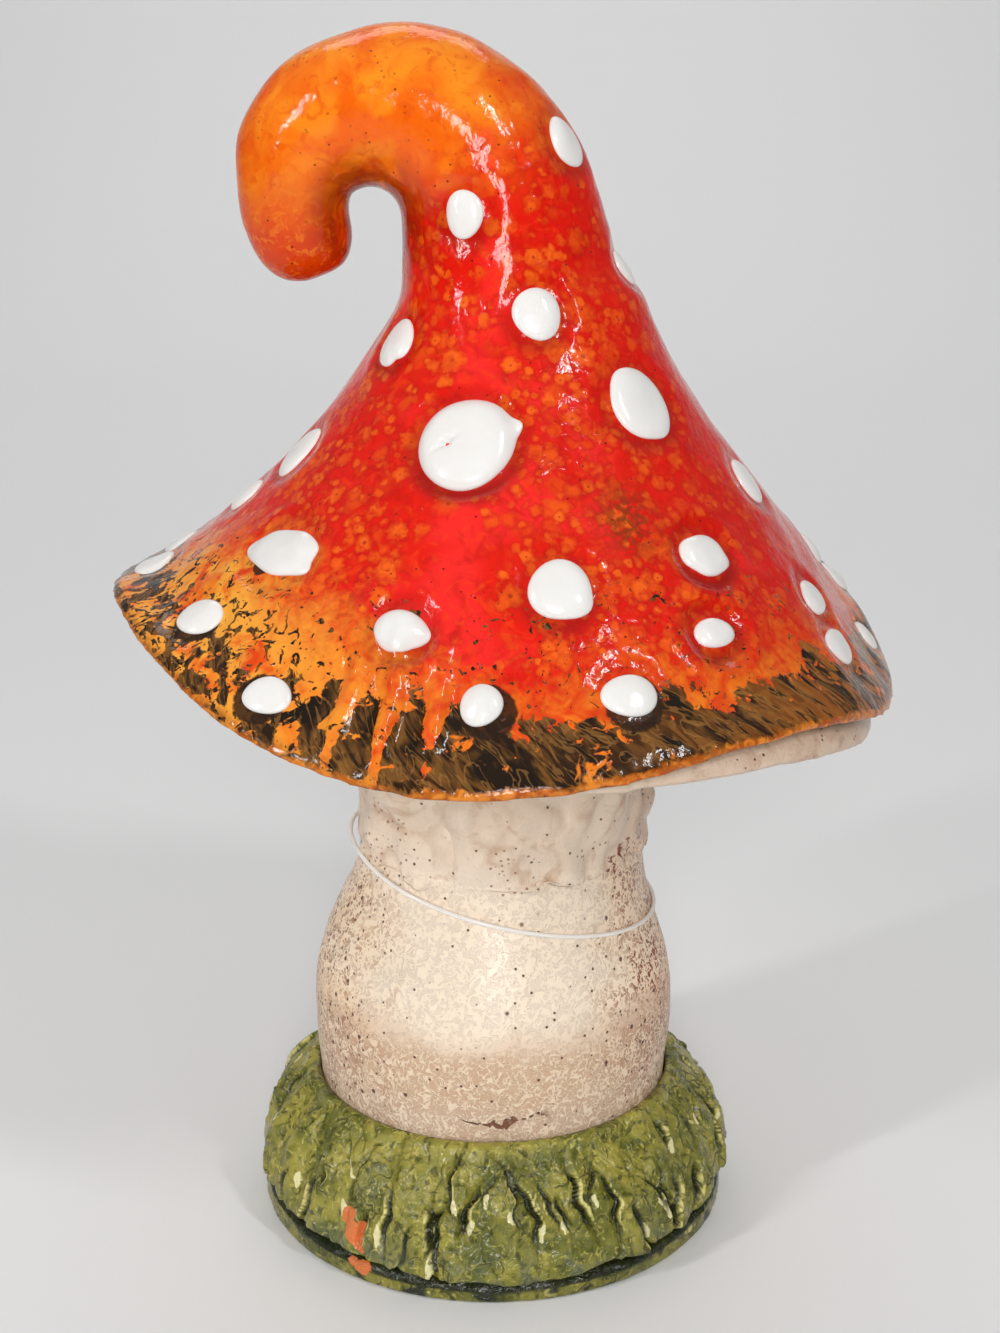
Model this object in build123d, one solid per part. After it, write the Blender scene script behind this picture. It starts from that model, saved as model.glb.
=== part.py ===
# Ceramic mushroom ornament with a curled red hat, a cream stem and a mossy foot.
# Millimetres, Z up. The origin is the middle of the flat foot, on the axis of the stem.
# The front, seen in the photograph, faces -Y. The tip of the hat curls over towards -X.
from build123d import *
import math
import os

os.makedirs("parts", exist_ok=True)

# Foot disc
FOOT_R = 61.5
DISC_H = 9.0
DISC_TOP_ROUND = 4.0
DISC_FOOT_ROUND = 1.2
VENT_R = 11.0

# Moss mound around the root of the stem
MOSS_H = 27.5
MOSS_LIP_UP = 3.5
MOSS_LIP_OVERHANG = 3.5
MOSS_TOP_EDGE = 1.2
MOSS_FOLDS = 26
MOSS_FOLD_DEPTH = 1.0
MOSS_FOLD_DRIFT = 1.1
MOSS_SWELLS = 7
MOSS_SWELL_DEPTH = 0.5

# Stem: root in the moss, belly, neck, and a spigot that goes up into the hat
ROOT_R = 45.8
BELLY_R = 46.8
BELLY_UP = 17.5
NECK_R = 35.8
NECK_UP = 47.0
NECK_CURVE = 1.2
SHOULDER = 2.4
STEM_WALL = 6.0
SPIGOT_ABOVE_SLAB = 4.0

# Hat: a cone that flares into a floppy brim, under a curled tip
CAP_X = 3.0
CAP_WALL = 5.0
RIM_R = 97.5
RIM_UP = 55.5
CONE_H = 99.0
CONE_CURVE = 0.64
CONE_SWAY = 3.7
CONE_SWAY_CURVE = 0.25
BRIM_SAG_CURVE = 3.5
THROAT_R = 24.0
CURL_BORE_R = 7.5
CURL_TIP_R = 13.0
CURL_TAPER = 0.9
HOLLOW_END = 120

# Waves of the brim: how many around, how high, and the bearing of a crest
BRIM_WAVES = [(1, 13.5, 140.0), (2, 3.0, -30.0), (4, 6.5, 30.0), (5, 2.5, -32.0)]

# Slab that closes the hat from below
SLAB_T = 7.0
SLAB_DROP = 1.5
SLAB_LEAN = 0.07

# Clay collar pressed around the neck
COLLAR_PROUD = 1.8
COLLAR_FLARE = 14.4
COLLAR_CURVE = 2.2
COLLAR_OVERRUN = 10.0
COLLAR_LUMPS = 5
COLLAR_LUMP_DEPTH = 0.7

# Clear nylon cord looped loosely around the neck
CORD_R = 0.55
CORD_DROP = 10.5
CORD_TILT = 13.0
CORD_CLEAR = 0.5
CORD_EASE = 1.9

# Applied white dots on the cone and the brim: share of the way from throat to rim, bearing,
# size across the slope and size along it
DOTS = [
    (0.07, -83, 11.5, 12.5),
    (0.13, -149, 12.0, 12.0),
    (0.29, -105, 22.5, 24.0),
    (0.23, -47, 16.0, 19.0),
    (0.03, -9, 9.0, 10.0),
    (0.39, -169, 13.0, 15.0),
    (0.45, -12, 12.0, 13.0),
    (0.59, -141, 19.0, 12.5),
    (0.85, -176, 13.0, 11.0),
    (0.82, -146, 13.0, 10.5),
    (0.88, -126, 11.5, 9.5),
    (0.68, -109, 12.5, 10.5),
    (0.59, -81, 15.0, 14.5),
    (0.81, -94, 9.5, 10.0),
    (0.82, -72, 12.5, 10.5),
    (0.73, -54, 11.0, 7.0),
    (0.56, -48, 13.5, 10.5),
    (0.72, -21, 11.0, 9.5),
    (0.83, -24, 12.0, 10.0),
    (0.90, 18, 10.0, 10.0),
    (0.90, 0, 9.0, 8.5),
    (0.74, 12, 11.0, 10.0),
    (0.84, 166, 12.0, 10.5),
    (0.55, -178, 11.0, 10.5),
    (0.35, 33, 15.0, 14.0),
    (0.66, 38, 10.5, 10.0),
    (0.55, 62, 17.0, 15.0),
    (0.20, 76, 12.0, 13.0),
    (0.48, 97, 20.0, 19.0),
    (0.80, 80, 11.0, 10.0),
    (0.76, 118, 13.0, 11.0),
    (0.28, 128, 14.0, 14.0),
    (0.60, 143, 14.5, 12.0),
]

# Dots on the curl: angle round the eye of the hook, bearing around the curl, and the same two sizes
CURL_DOTS = [
    (22, -27, 11.0, 13.0),
    (8, -111, 9.5, 11.0),
    (14, 96, 11.0, 12.0),
    (40, 48, 9.0, 10.0),
]
DOT_RISE = 1.2
DOT_RISE_PER_SIZE = 0.08
DOT_SEAT = 0.3

# Joint gap between pieces luted together
GAP = 0.15

# How finely the lofted forms are laid out
RING_POINTS = 24
SKIRT_LEVELS = 4
SKIRT_STEP = 12.0
SKIRT_FLARE = 0.9
CONE_LEVELS = 10
LEVEL_SPACING = 1.25
CURL_STEP = 20
TIP_ANGLES = (25, 50, 75)
SHEET_POINTS = 21
STEM_MARKS = 6
LOFT_LEVELS = 6
CUT = 400.0

# Heights, each on top of the one below
moss_top = DISC_H + MOSS_H
moss_lip = DISC_H + MOSS_LIP_UP
belly_z = moss_top + BELLY_UP
neck_z = belly_z + NECK_UP
rim_z = neck_z + RIM_UP
throat_z = rim_z + CONE_H
slab_top = rim_z - SLAB_DROP + SLAB_T
spigot_top = slab_top + SPIGOT_ABOVE_SLAB
collar_end = slab_top + COLLAR_OVERRUN

# Radii that pieces share
spigot_r = NECK_R - SHOULDER
disc_flat_r = FOOT_R - DISC_TOP_ROUND
eye_x = CAP_X - CURL_BORE_R - THROAT_R


def closed_curve(points):
    return Wire([Spline(*points, periodic=True)])


def export(name, shape):
    solids = shape.solids()
    if len(solids) != 1:
        raise ValueError(f"{name} came out as {len(solids)} solids")
    export_step(solids[0], f"parts/{name}.step")


def make_disc():
    # A vent hole lets the hollow ware breathe in the kiln
    disc = Cylinder(FOOT_R, DISC_H, align=(Align.CENTER, Align.CENTER, Align.MIN))
    edges = disc.edges().filter_by(GeomType.CIRCLE).sort_by(Axis.Z)
    disc = fillet(edges[-1], DISC_TOP_ROUND)
    edges = disc.edges().filter_by(GeomType.CIRCLE).sort_by(Axis.Z)
    disc = fillet(edges[0], DISC_FOOT_ROUND)
    return disc - Cylinder(VENT_R, CUT)


def moss_ring(up):
    # Folds run up the slope and lean as they climb, over a few broad swells
    top_r = ROOT_R + GAP + MOSS_TOP_EDGE
    lip_r = disc_flat_r + MOSS_LIP_OVERHANG
    slope_r = top_r + (lip_r - top_r) * (1 - up**2)
    fade = 0.35 + 0.65 * math.sin(math.pi * (up + 0.15) / 1.15)
    points = []
    count = 6 * MOSS_FOLDS
    for k in range(count):
        turn = 2 * math.pi * k / count
        drift = MOSS_FOLD_DRIFT * (math.sin(3 * turn) + up)
        fold = MOSS_FOLD_DEPTH * math.cos(MOSS_FOLDS * turn + drift)
        swell = MOSS_SWELL_DEPTH * math.cos(MOSS_SWELLS * turn - drift)
        radius = slope_r + fade * (fold + swell)
        height = moss_lip + (moss_top - moss_lip) * up
        points.append((radius * math.cos(turn), radius * math.sin(turn), height))
    return closed_curve(points)


def make_mound():
    # The crinkled mound stands on the flat of the disc, under its lip, and wraps the root of the stem
    mound = Solid.make_loft([moss_ring(k / LOFT_LEVELS) for k in range(LOFT_LEVELS + 1)])
    lip_r = disc_flat_r + MOSS_LIP_OVERHANG - MOSS_FOLD_DEPTH - MOSS_SWELL_DEPTH
    seat = Cone(disc_flat_r, lip_r, MOSS_LIP_UP, align=(Align.CENTER, Align.CENTER, Align.MIN))
    mound += seat.moved(Location((0, 0, DISC_H)))
    return mound - Cylinder(ROOT_R + GAP, CUT)


def stem_radius(height):
    # Radius of the stem between belly and neck
    t = ((height - belly_z) / NECK_UP) ** NECK_CURVE
    return BELLY_R - (BELLY_R - NECK_R) * (3 * t**2 - 2 * t**3)


def stem_face(inset, bottom, top):
    marks = []
    for k in range(STEM_MARKS + 1):
        height = belly_z + NECK_UP * k / STEM_MARKS
        marks.append((stem_radius(height) - inset, height))
    root = (ROOT_R - inset, moss_top)
    inner_r = spigot_r - inset
    with BuildSketch(Plane.XZ) as sketch:
        with BuildLine():
            Polyline((0, bottom), (root[0], bottom), root)
            Spline(root, *marks)
            Polyline(marks[-1], (inner_r, neck_z), (inner_r, top), (0, top), (0, bottom))
        make_face()
    return sketch.sketch


def make_stem():
    outside = revolve(stem_face(0.0, DISC_H, spigot_top), Axis.Z)
    inside = revolve(stem_face(STEM_WALL, 0.0, CUT), Axis.Z)
    return outside - inside


def brim_wave(x, y):
    # Lean and soft lobes of the brim, as one smooth surface over the plan of the hat
    reach, bearing = math.hypot(x, y) / RIM_R, math.atan2(y, x)
    height = 0.0
    for count, rise, crest in BRIM_WAVES:
        height += rise * reach**count * math.cos(count * (bearing - math.radians(crest)))
    return height


def below_brim(drop, depth, lean=0.0):
    # Block under the wavy surface that the rim lies in
    reach = RIM_R + 2 * SKIRT_STEP
    steps = [reach * (2 * k / (SHEET_POINTS - 1) - 1) for k in range(SHEET_POINTS)]
    grid = []
    for x in steps:
        row = [Vector(CAP_X + x, y, rim_z - drop - lean * x + brim_wave(x, y)) for y in steps]
        grid.append(row)
    sheet = Face.make_surface_from_array_of_points(grid)
    return Solid.extrude(sheet, Vector(0, 0, -depth))


def cone_level(share):
    # Radius, height, sway and sag of the hat at a share of the way from throat to rim
    radius = THROAT_R + (RIM_R - THROAT_R) * share
    height = throat_z - CONE_H * share**CONE_CURVE
    sway = CONE_SWAY * math.sin(math.pi * share**CONE_SWAY_CURVE)
    return radius, height, sway, share**BRIM_SAG_CURVE


def cone_levels():
    # From under the rim, where the skirt is trimmed off, up to the throat
    levels = []
    for k in range(SKIRT_LEVELS, 0, -1):
        levels.append((RIM_R + SKIRT_FLARE * k, rim_z - SKIRT_STEP * k, 0.0, 1 - k / SKIRT_LEVELS))
    for k in range(CONE_LEVELS, -1, -1):
        levels.append(cone_level((k / CONE_LEVELS) ** LEVEL_SPACING))
    return levels


def cone_point(radius, height, sway, sag, bearing):
    x, y = math.cos(bearing), math.sin(bearing)
    wave = sag * brim_wave(RIM_R * x, RIM_R * y)
    return Vector(CAP_X + sway + radius * x, radius * y, height + wave)


def cone_rings(inset):
    # The levels below the throat, moved in square to the slope
    levels = cone_levels()
    rings = []
    for k in range(len(levels) - 1):
        radius, height, sway, sag = levels[k]
        run, rise = 0.0, 1.0
        if k > 0:
            run = levels[k + 1][0] - levels[k - 1][0]
            rise = levels[k + 1][1] - levels[k - 1][1]
        slope = math.hypot(run, rise)
        radius -= inset * rise / slope
        height += inset * run / slope
        turns = [2 * math.pi * n / RING_POINTS for n in range(RING_POINTS)]
        rings.append(closed_curve([cone_point(radius, height, sway, sag, turn) for turn in turns]))
    return rings


def curl_radius(angle):
    return THROAT_R + (CURL_TIP_R - THROAT_R) * (angle / 180) ** CURL_TAPER


def curl_middle(angle):
    # Middle of a section of the curl, at an angle round the open eye of the hook
    reach = CURL_BORE_R + curl_radius(angle)
    turn = math.radians(angle)
    return eye_x + reach * math.cos(turn), throat_z + reach * math.sin(turn)


def curl_ring(angle, radius, lower=0.0):
    x, z = curl_middle(angle)
    lean = math.radians(angle)
    points = []
    for k in range(RING_POINTS):
        turn = 2 * math.pi * k / RING_POINTS
        out, side = radius * math.cos(turn), radius * math.sin(turn)
        points.append((x + out * math.cos(lean), side, z - lower + out * math.sin(lean)))
    return closed_curve(points)


def hat_body(inset, end):
    curl = [curl_ring(angle, curl_radius(angle) - inset) for angle in range(0, end + 1, CURL_STEP)]
    return cone_rings(inset) + curl


def hat_outside():
    # The whole outer form, its curl closed by a rounded tip
    tip = []
    for angle in TIP_ANGLES:
        turn = math.radians(angle)
        tip.append(curl_ring(180, CURL_TIP_R * math.cos(turn), CURL_TIP_R * math.sin(turn)))
    return Solid.make_loft(hat_body(0.0, 180) + tip) - below_brim(0.0, CUT)


def make_cap(outside):
    hollow = Solid.make_loft(hat_body(CAP_WALL, HOLLOW_END)) - below_brim(0.0, CUT)
    return outside - hollow


def make_slab():
    # Closes the hollow hat and stands a little proud of the rim on the right
    room = Solid.make_loft(hat_body(CAP_WALL + GAP, HOLLOW_END))
    slab = below_brim(SLAB_DROP - SLAB_T, SLAB_T, SLAB_LEAN) & room
    return slab - Cylinder(spigot_r + GAP, 2 * CUT)


def collar_ring(up):
    foot_r = NECK_R + COLLAR_PROUD
    radius = foot_r + COLLAR_FLARE * up**COLLAR_CURVE
    points = []
    for k in range(2 * RING_POINTS):
        turn = math.pi * k / RING_POINTS
        lump = (1 - up) * COLLAR_LUMP_DEPTH * math.cos(COLLAR_LUMPS * turn)
        height = neck_z + (collar_end - neck_z) * up
        points.append(((radius + lump) * math.cos(turn), (radius + lump) * math.sin(turn), height))
    return closed_curve(points)


def make_collar():
    # From the shoulder of the stem up to the slab, flaring as it rises
    collar = Solid.make_loft([collar_ring(k / LOFT_LEVELS) for k in range(LOFT_LEVELS + 1)])
    collar -= Cylinder(spigot_r + GAP, 2 * CUT)
    return collar & below_brim(SLAB_DROP + GAP, CUT, SLAB_LEAN)


def make_cord():
    # A closed oval loop of four arcs that leans as it hangs on the swell of the stem
    middle_z = neck_z - CORD_DROP
    middle_r = stem_radius(middle_z)
    fall = middle_r * math.tan(math.radians(CORD_TILT))
    stand_off = CORD_R + CORD_CLEAR
    low_r = stem_radius(middle_z - fall) + stand_off
    high_r = stem_radius(middle_z + fall) + stand_off
    half_long = (low_r + high_r) / 2 / math.cos(math.radians(CORD_TILT))
    half_short = middle_r + stand_off
    end_r = half_short - CORD_EASE
    end_x = half_long - end_r
    side_y = (end_x**2 - CORD_EASE**2) / (2 * CORD_EASE)
    side_r = half_short + side_y
    swing = math.degrees(math.atan2(side_y, end_x))
    plane = Plane(origin=((low_r - high_r) / 2, 0, middle_z)).rotated((0, CORD_TILT, 0))
    arcs = [
        plane * CenterArc((end_x, 0), end_r, -swing, 2 * swing),
        plane * CenterArc((0, -side_y), side_r, swing, 180 - 2 * swing),
        plane * CenterArc((-end_x, 0), end_r, 180 - swing, 2 * swing),
        plane * CenterArc((0, side_y), side_r, 180 + swing, 180 - 2 * swing),
    ]
    path = Wire(arcs)
    section = Plane(origin=path @ 0, z_dir=path % 0) * Circle(CORD_R)
    return sweep(section, path)


def make_dot(outside, origin, direction, across, along):
    # A flattened dome, seated on slip where a line from inside the hat comes out of it
    line = Axis(origin, direction)
    hits = outside.find_intersection_points(line)
    point, normal = max(hits, key=lambda hit: (hit[0] - line.position).dot(line.direction))
    if normal.dot(line.direction) < 0:
        normal = -normal
    level = Vector(0, 0, 1).cross(normal).normalized()
    rise = DOT_RISE + DOT_RISE_PER_SIZE * (across + along) / 2
    dome = scale(Sphere(1.0), by=(across / 2, along / 2, rise))
    dot = Plane(origin=point, x_dir=level, z_dir=normal).location * dome - outside
    return dot.moved(Location(normal * DOT_SEAT))


def make_dots(outside):
    dots = []
    step = 0.01
    for share, bearing, across, along in DOTS:
        turn = math.radians(bearing)
        seat = cone_point(*cone_level(share), turn)
        down = cone_point(*cone_level(share + step), turn) - seat
        around = cone_point(*cone_level(share), turn + step) - seat
        outward = down.cross(around).normalized()
        dots.append(make_dot(outside, seat - outward * CAP_WALL, outward, across, along))
    for angle, bearing, across, along in CURL_DOTS:
        x, z = curl_middle(angle)
        turn, lean = math.radians(bearing), math.radians(angle)
        out = math.cos(turn)
        heading = (out * math.cos(lean), math.sin(turn), out * math.sin(lean))
        dots.append(make_dot(outside, (x, 0, z), heading, across, along))
    return dots


hat = hat_outside()
export("base_disc", make_disc())
export("moss_mound", make_mound())
export("stem", make_stem())
export("neck_collar", make_collar())
export("cap_underside", make_slab())
export("cap_shell", make_cap(hat))
export("neck_cord", make_cord())
for number, dot in enumerate(make_dots(hat), 1):
    export(f"dot_{number:02d}", dot)
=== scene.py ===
# %% [markdown]
# # A ceramic mushroom ornament
# The real object is hand-built stoneware: a hollow red hat with a curled tip, white dots pressed onto
# it, a cream stem and a mossy green foot. This lesson starts from the solid model, gives each clay
# piece an even skin, works the skin as a potter would, and then glazes it with shader nodes.

# %% Load the frame
import math

import bpy
import numpy as np
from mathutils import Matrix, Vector, noise
from mathutils.bvhtree import BVHTree


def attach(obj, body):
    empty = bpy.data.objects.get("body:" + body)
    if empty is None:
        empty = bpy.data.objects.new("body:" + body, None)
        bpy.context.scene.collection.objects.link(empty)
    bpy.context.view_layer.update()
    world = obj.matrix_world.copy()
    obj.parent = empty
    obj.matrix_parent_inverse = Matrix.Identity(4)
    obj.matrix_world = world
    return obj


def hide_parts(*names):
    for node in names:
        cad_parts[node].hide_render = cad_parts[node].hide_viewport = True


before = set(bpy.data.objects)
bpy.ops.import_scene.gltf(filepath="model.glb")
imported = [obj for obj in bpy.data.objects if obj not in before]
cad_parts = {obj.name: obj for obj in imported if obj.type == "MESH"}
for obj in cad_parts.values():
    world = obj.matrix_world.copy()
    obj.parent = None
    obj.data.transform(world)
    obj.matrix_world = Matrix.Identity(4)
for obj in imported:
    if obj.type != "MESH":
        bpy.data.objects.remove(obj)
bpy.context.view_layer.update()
bpy.ops.object.select_all(action="DESELECT")
MM = 0.001
print("nodes in the frame:", len(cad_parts))

# %% [markdown]
# ## Camera
# The photograph was taken from close by, a little above the brim and looking down. The place, pitch and
# lens below were solved from the ellipses of the foot, the neck and the brim.

# %% Camera
CAMERA_PLACE = (1.84, -500.0, 303.55)
CAMERA_PITCH = 17.63
LENS = 56.2
bpy.ops.object.camera_add(
    location=[value * MM for value in CAMERA_PLACE],
    rotation=(math.radians(90 - CAMERA_PITCH), 0, 0),
)
camera = bpy.context.object
camera.data.lens = LENS
camera.data.clip_start = 0.01
bpy.context.scene.camera = camera
bpy.context.scene.view_settings.view_transform = "Standard"
print("camera at", tuple(camera.location))

# %% [markdown]
# ## The cord
# A clear nylon line is tied loosely round the neck. A torus would look machined, because a real line
# hangs unevenly. So its route is a short list of points, and a NURBS spline rounds it off. It starts and
# ends in a knot at the back, and it leans because it rests on the swell of the stem.

# %% Cord: knot
CORD_R = 0.55
KNOT_PLACE = (3.0, 39.3, 90.5)
KNOT_SIZE = 0.42
KNOT_POINTS = 24
CORD_ROUNDING = 4


def cord_curve(name, places, closed):
    data = bpy.data.curves.new(name, "CURVE")
    data.dimensions = "3D"
    spline = data.splines.new("NURBS")
    spline.points.add(len(places) - 1)
    for point, place in zip(spline.points, places):
        point.co = (*[value * MM for value in place], 1)
    spline.order_u = 3
    spline.use_cyclic_u = closed
    spline.use_endpoint_u = not closed
    data.bevel_depth = CORD_R * MM
    data.bevel_resolution = CORD_ROUNDING
    data.use_fill_caps = True
    made = bpy.data.objects.new(name, data)
    bpy.context.collection.objects.link(made)
    return made


def trefoil(turn):
    x = math.sin(turn) + 2 * math.sin(2 * turn)
    y = -math.sin(3 * turn)
    z = math.cos(turn) - 2 * math.cos(2 * turn)
    return [at + KNOT_SIZE * value for at, value in zip(KNOT_PLACE, (x, y, z))]


knot = cord_curve("cord_knot", [trefoil(2 * math.pi * k / KNOT_POINTS) for k in range(KNOT_POINTS)], True)
bpy.context.view_layer.objects.active = knot
knot.select_set(True)
bpy.ops.object.convert(target="MESH")
bpy.ops.object.shade_smooth()
print("knot tied with", len(knot.data.polygons), "faces")

# %% Cord: line
NYLON = (0.97, 0.94, 0.90, 1)
CORD_ROUTE = [
    (1.4, 38.9, 91.0),
    (-8.0, 38.9, 93.2),
    (-26.6, 28.6, 98.0),
    (-36.6, 10.4, 101.8),
    (-36.6, -10.4, 101.8),
    (-26.2, -28.6, 97.4),
    (-8.1, -38.9, 92.9),
    (13.0, -38.9, 88.0),
    (31.3, -28.6, 83.8),
    (41.9, -10.4, 81.4),
    (41.9, 10.4, 81.4),
    (31.3, 28.6, 83.8),
    (13.0, 38.9, 88.0),
    (4.6, 38.9, 90.0),
]


def plain_paint(name, **values):
    paint = bpy.data.materials.new(name)
    paint.use_nodes = True
    inputs = paint.node_tree.nodes["Principled BSDF"].inputs
    for socket, value in values.items():
        inputs[socket.replace("_", " ")].default_value = value
    return paint


cord = cord_curve("cord_line", CORD_ROUTE, False)
nylon = plain_paint("cord_nylon", Base_Color=NYLON, Roughness=0.22, Transmission_Weight=0.12)
for piece in (cord, knot):
    piece.data.materials.append(nylon)
    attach(piece, "root")
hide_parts("neck_cord")
print("cord tied round the neck")

# %% [markdown]
# ## Floor and light
# A pale sweep stands for the studio table. It is a plane whose back edge is raised and rounded, so that
# no horizon shows behind the object.

# %% Floor
FLOOR_GREY = (0.83, 0.83, 0.83, 1)
FLOOR_HALF = 3.0
SWEEP_BACK = 2.2
SWEEP_BEND = 1.0
SWEEP_STEPS = 24
NEAR = 0.01


def in_edit_mode(operator, **settings):
    bpy.ops.object.mode_set(mode="EDIT")
    operator(**settings)
    bpy.ops.object.mode_set(mode="OBJECT")


def choose_edges(piece, test):
    for edge in piece.data.edges:
        edge.select = all(test(piece.data.vertices[index].co) for index in edge.vertices)


bpy.ops.mesh.primitive_plane_add(size=2 * FLOOR_HALF, location=(0, SWEEP_BACK - FLOOR_HALF, 0))
floor = bpy.context.object
floor.name = "floor"
bpy.ops.object.transform_apply(location=True)
in_edit_mode(bpy.ops.mesh.select_mode, type="EDGE")
in_edit_mode(bpy.ops.mesh.select_all, action="DESELECT")
choose_edges(floor, lambda end: end.y > SWEEP_BACK - NEAR)
up = {"value": (0, 0, FLOOR_HALF)}
in_edit_mode(bpy.ops.mesh.extrude_region_move, TRANSFORM_OT_translate=up)
choose_edges(floor, lambda end: abs(end.y - SWEEP_BACK) < NEAR and abs(end.z) < NEAR)
in_edit_mode(bpy.ops.mesh.bevel, offset=SWEEP_BEND, segments=SWEEP_STEPS)
bpy.ops.object.shade_smooth()
floor.data.materials.append(
    plain_paint("studio_grey", Base_Color=FLOOR_GREY, Roughness=0.9, Specular_IOR_Level=0.0)
)
print("sweep has", len(floor.data.polygons), "faces")

# %% [markdown]
# A glossy glaze mirrors everything around it, so a bright room would wash its colour out. Here the sky is
# dim, and most light comes from one box just above the camera, which hides its own shadow behind the
# object. Thin strips add the small crisp highlights that make a glaze look wet, and a box over the sweep
# keeps the grey even.

# %% Light: sky
SKY_TOP = 0.42
SKY_SIDE = 0.10
world = bpy.data.worlds.new("studio_sky")
bpy.context.scene.world = world
world.use_nodes = True
sky = world.node_tree
sky_place = sky.nodes.new("ShaderNodeTexCoord")
sky_split = sky.nodes.new("ShaderNodeSeparateXYZ")
sky_range = sky.nodes.new("ShaderNodeMapRange")
sky_range.inputs["To Min"].default_value = SKY_SIDE
sky_range.inputs["To Max"].default_value = SKY_TOP
sky.links.new(sky_place.outputs["Generated"], sky_split.inputs["Vector"])
sky.links.new(sky_split.outputs["Z"], sky_range.inputs["Value"])
sky.links.new(sky_range.outputs["Result"], sky.nodes["Background"].inputs["Strength"])
sky.nodes["Background"].inputs["Color"].default_value = (1, 1, 1, 1)
print("sky from", SKY_SIDE, "to", SKY_TOP)

# %% Light: lamps
OBJECT_MIDDLE = (0, 0, 0.17)
SWEEP_MIDDLE = (0, 1.5, 0.0)


def soft_box(name, place, target, size, power, spread=180):
    way = Vector(target) - Vector(place)
    turn = way.to_track_quat("-Z", "Y").to_euler()
    bpy.ops.object.light_add(type="AREA", location=place, rotation=turn)
    lamp = bpy.context.object
    lamp.name = name
    lamp.data.shape = "RECTANGLE"
    lamp.data.size, lamp.data.size_y = size
    lamp.data.energy = power
    lamp.data.spread = math.radians(spread)


soft_box("front_box", (0.0, -1.8, 0.78), OBJECT_MIDDLE, size=(0.40, 0.60), power=3.9, spread=90)
soft_box("key_strip", (0.62, -0.72, 1.05), OBJECT_MIDDLE, size=(0.04, 0.30), power=3.2)
soft_box("left_strip", (-0.80, -0.60, 0.65), OBJECT_MIDDLE, size=(0.04, 0.40), power=3.3)
soft_box("sweep_box", (0.0, 1.3, 1.7), SWEEP_MIDDLE, size=(1.6, 1.0), power=10.9)

# %% [markdown]
# ## Working clay
# Each clay piece starts as a copy of its CAD solid. The copy is merged, given an even skin by a voxel
# remesh and smoothed, which rounds every edge as wet fingers do. Sculpting could not be repeated, so the
# points are pushed in and out by code.

# %% Helpers for clay: skin
MERGE_GAP = 0.001
SMOOTHING = 0.5


def activate(piece):
    bpy.ops.object.select_all(action="DESELECT")
    piece.select_set(True)
    bpy.context.view_layer.objects.active = piece


def apply_modifier(piece, kind, **settings):
    activate(piece)
    modifier = piece.modifiers.new(kind.lower(), kind)
    for name, value in settings.items():
        setattr(modifier, name, value)
    bpy.ops.object.modifier_apply(modifier=modifier.name)


def clay_copy(node, name, voxel, rounds):
    piece = bpy.data.objects.new(name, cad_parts[node].data.copy())
    bpy.context.collection.objects.link(piece)
    piece.data.name = name
    piece.data.materials.clear()
    activate(piece)
    in_edit_mode(bpy.ops.mesh.select_all, action="SELECT")
    in_edit_mode(bpy.ops.mesh.remove_doubles, threshold=MERGE_GAP * MM)
    apply_modifier(piece, "REMESH", mode="VOXEL", voxel_size=voxel * MM)
    apply_modifier(piece, "SMOOTH", factor=SMOOTHING, iterations=rounds)
    bpy.ops.object.shade_smooth()
    print(name, "has", len(piece.data.polygons), "faces")
    return piece


def soften(piece, chosen, rounds):
    group = piece.vertex_groups.new(name="soften")
    group.add([int(index) for index in np.nonzero(chosen)[0]], 1.0, "REPLACE")
    apply_modifier(piece, "SMOOTH", factor=SMOOTHING, iterations=rounds, vertex_group=group.name)
    piece.vertex_groups.clear()
    print(piece.name, "softened at", int(np.sum(chosen)), "points")


# %% [markdown]
# Points are read and set all at once as arrays, in millimetres, because a loop over them is slow. What
# the glaze needs later, such as the distance from the lip, is written on the points as attributes.


# %% Helpers for clay: points
def points_of(piece):
    found = []
    for key in ("co", "normal"):
        values = np.empty(len(piece.data.vertices) * 3, np.float32)
        piece.data.vertices.foreach_get(key, values)
        found.append(values.reshape(-1, 3).astype(float))
    return found[0] / MM, found[1]


def set_points(piece, places):
    before, _ = points_of(piece)
    piece.data.vertices.foreach_set("co", (places * MM).astype(np.float32).ravel())
    piece.data.update()
    print(piece.name, "moved by up to", round(float(np.abs(places - before).max()), 1), "mm")


def write(piece, marks):
    for name, values in marks.items():
        values = np.asarray(values, np.float32)
        kind, key = ("FLOAT", "value") if values.ndim == 1 else ("FLOAT_VECTOR", "vector")
        layer = piece.data.attributes.new(name, kind, "POINT")
        layer.data.foreach_set(key, values.ravel())
    print(piece.name, "has the marks", list(marks))


def skin_tree(piece):
    places, _ = points_of(piece)
    faces = [list(face.vertices) for face in piece.data.polygons]
    return BVHTree.FromPolygons([Vector(place) for place in places], faces)


# %% [markdown]
# Each layer of dents is a soft noise with a depth, a size and a seed. A fade or a bell brings a change in
# and out, and bearings are in degrees around the upright axis.


# %% Helpers for clay: dents and fades
def lumps(places, size, seed=0.0):
    shift = Vector((seed, 2 * seed, -seed))
    return np.array([noise.noise(Vector(place) / size + shift) for place in places])


def dents(places, *layers):
    total = np.zeros(len(places))
    for depth, size, seed in layers:
        total = total + depth * lumps(places, size, seed)
    return total


def fade(value, low, high):
    t = np.clip((value - low) / (high - low), 0, 1)
    return t * t * (3 - 2 * t)


def bell(value, middle, width):
    return np.exp(-(((value - middle) / width) ** 2))


def around(places, middle_x=0.0):
    x, y = places[:, 0] - middle_x, places[:, 1]
    reach = np.hypot(x, y)
    outward = np.stack([x, y], 1) / np.maximum(reach, 1)[:, None]
    return reach, np.degrees(np.arctan2(y, x)), outward


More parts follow.
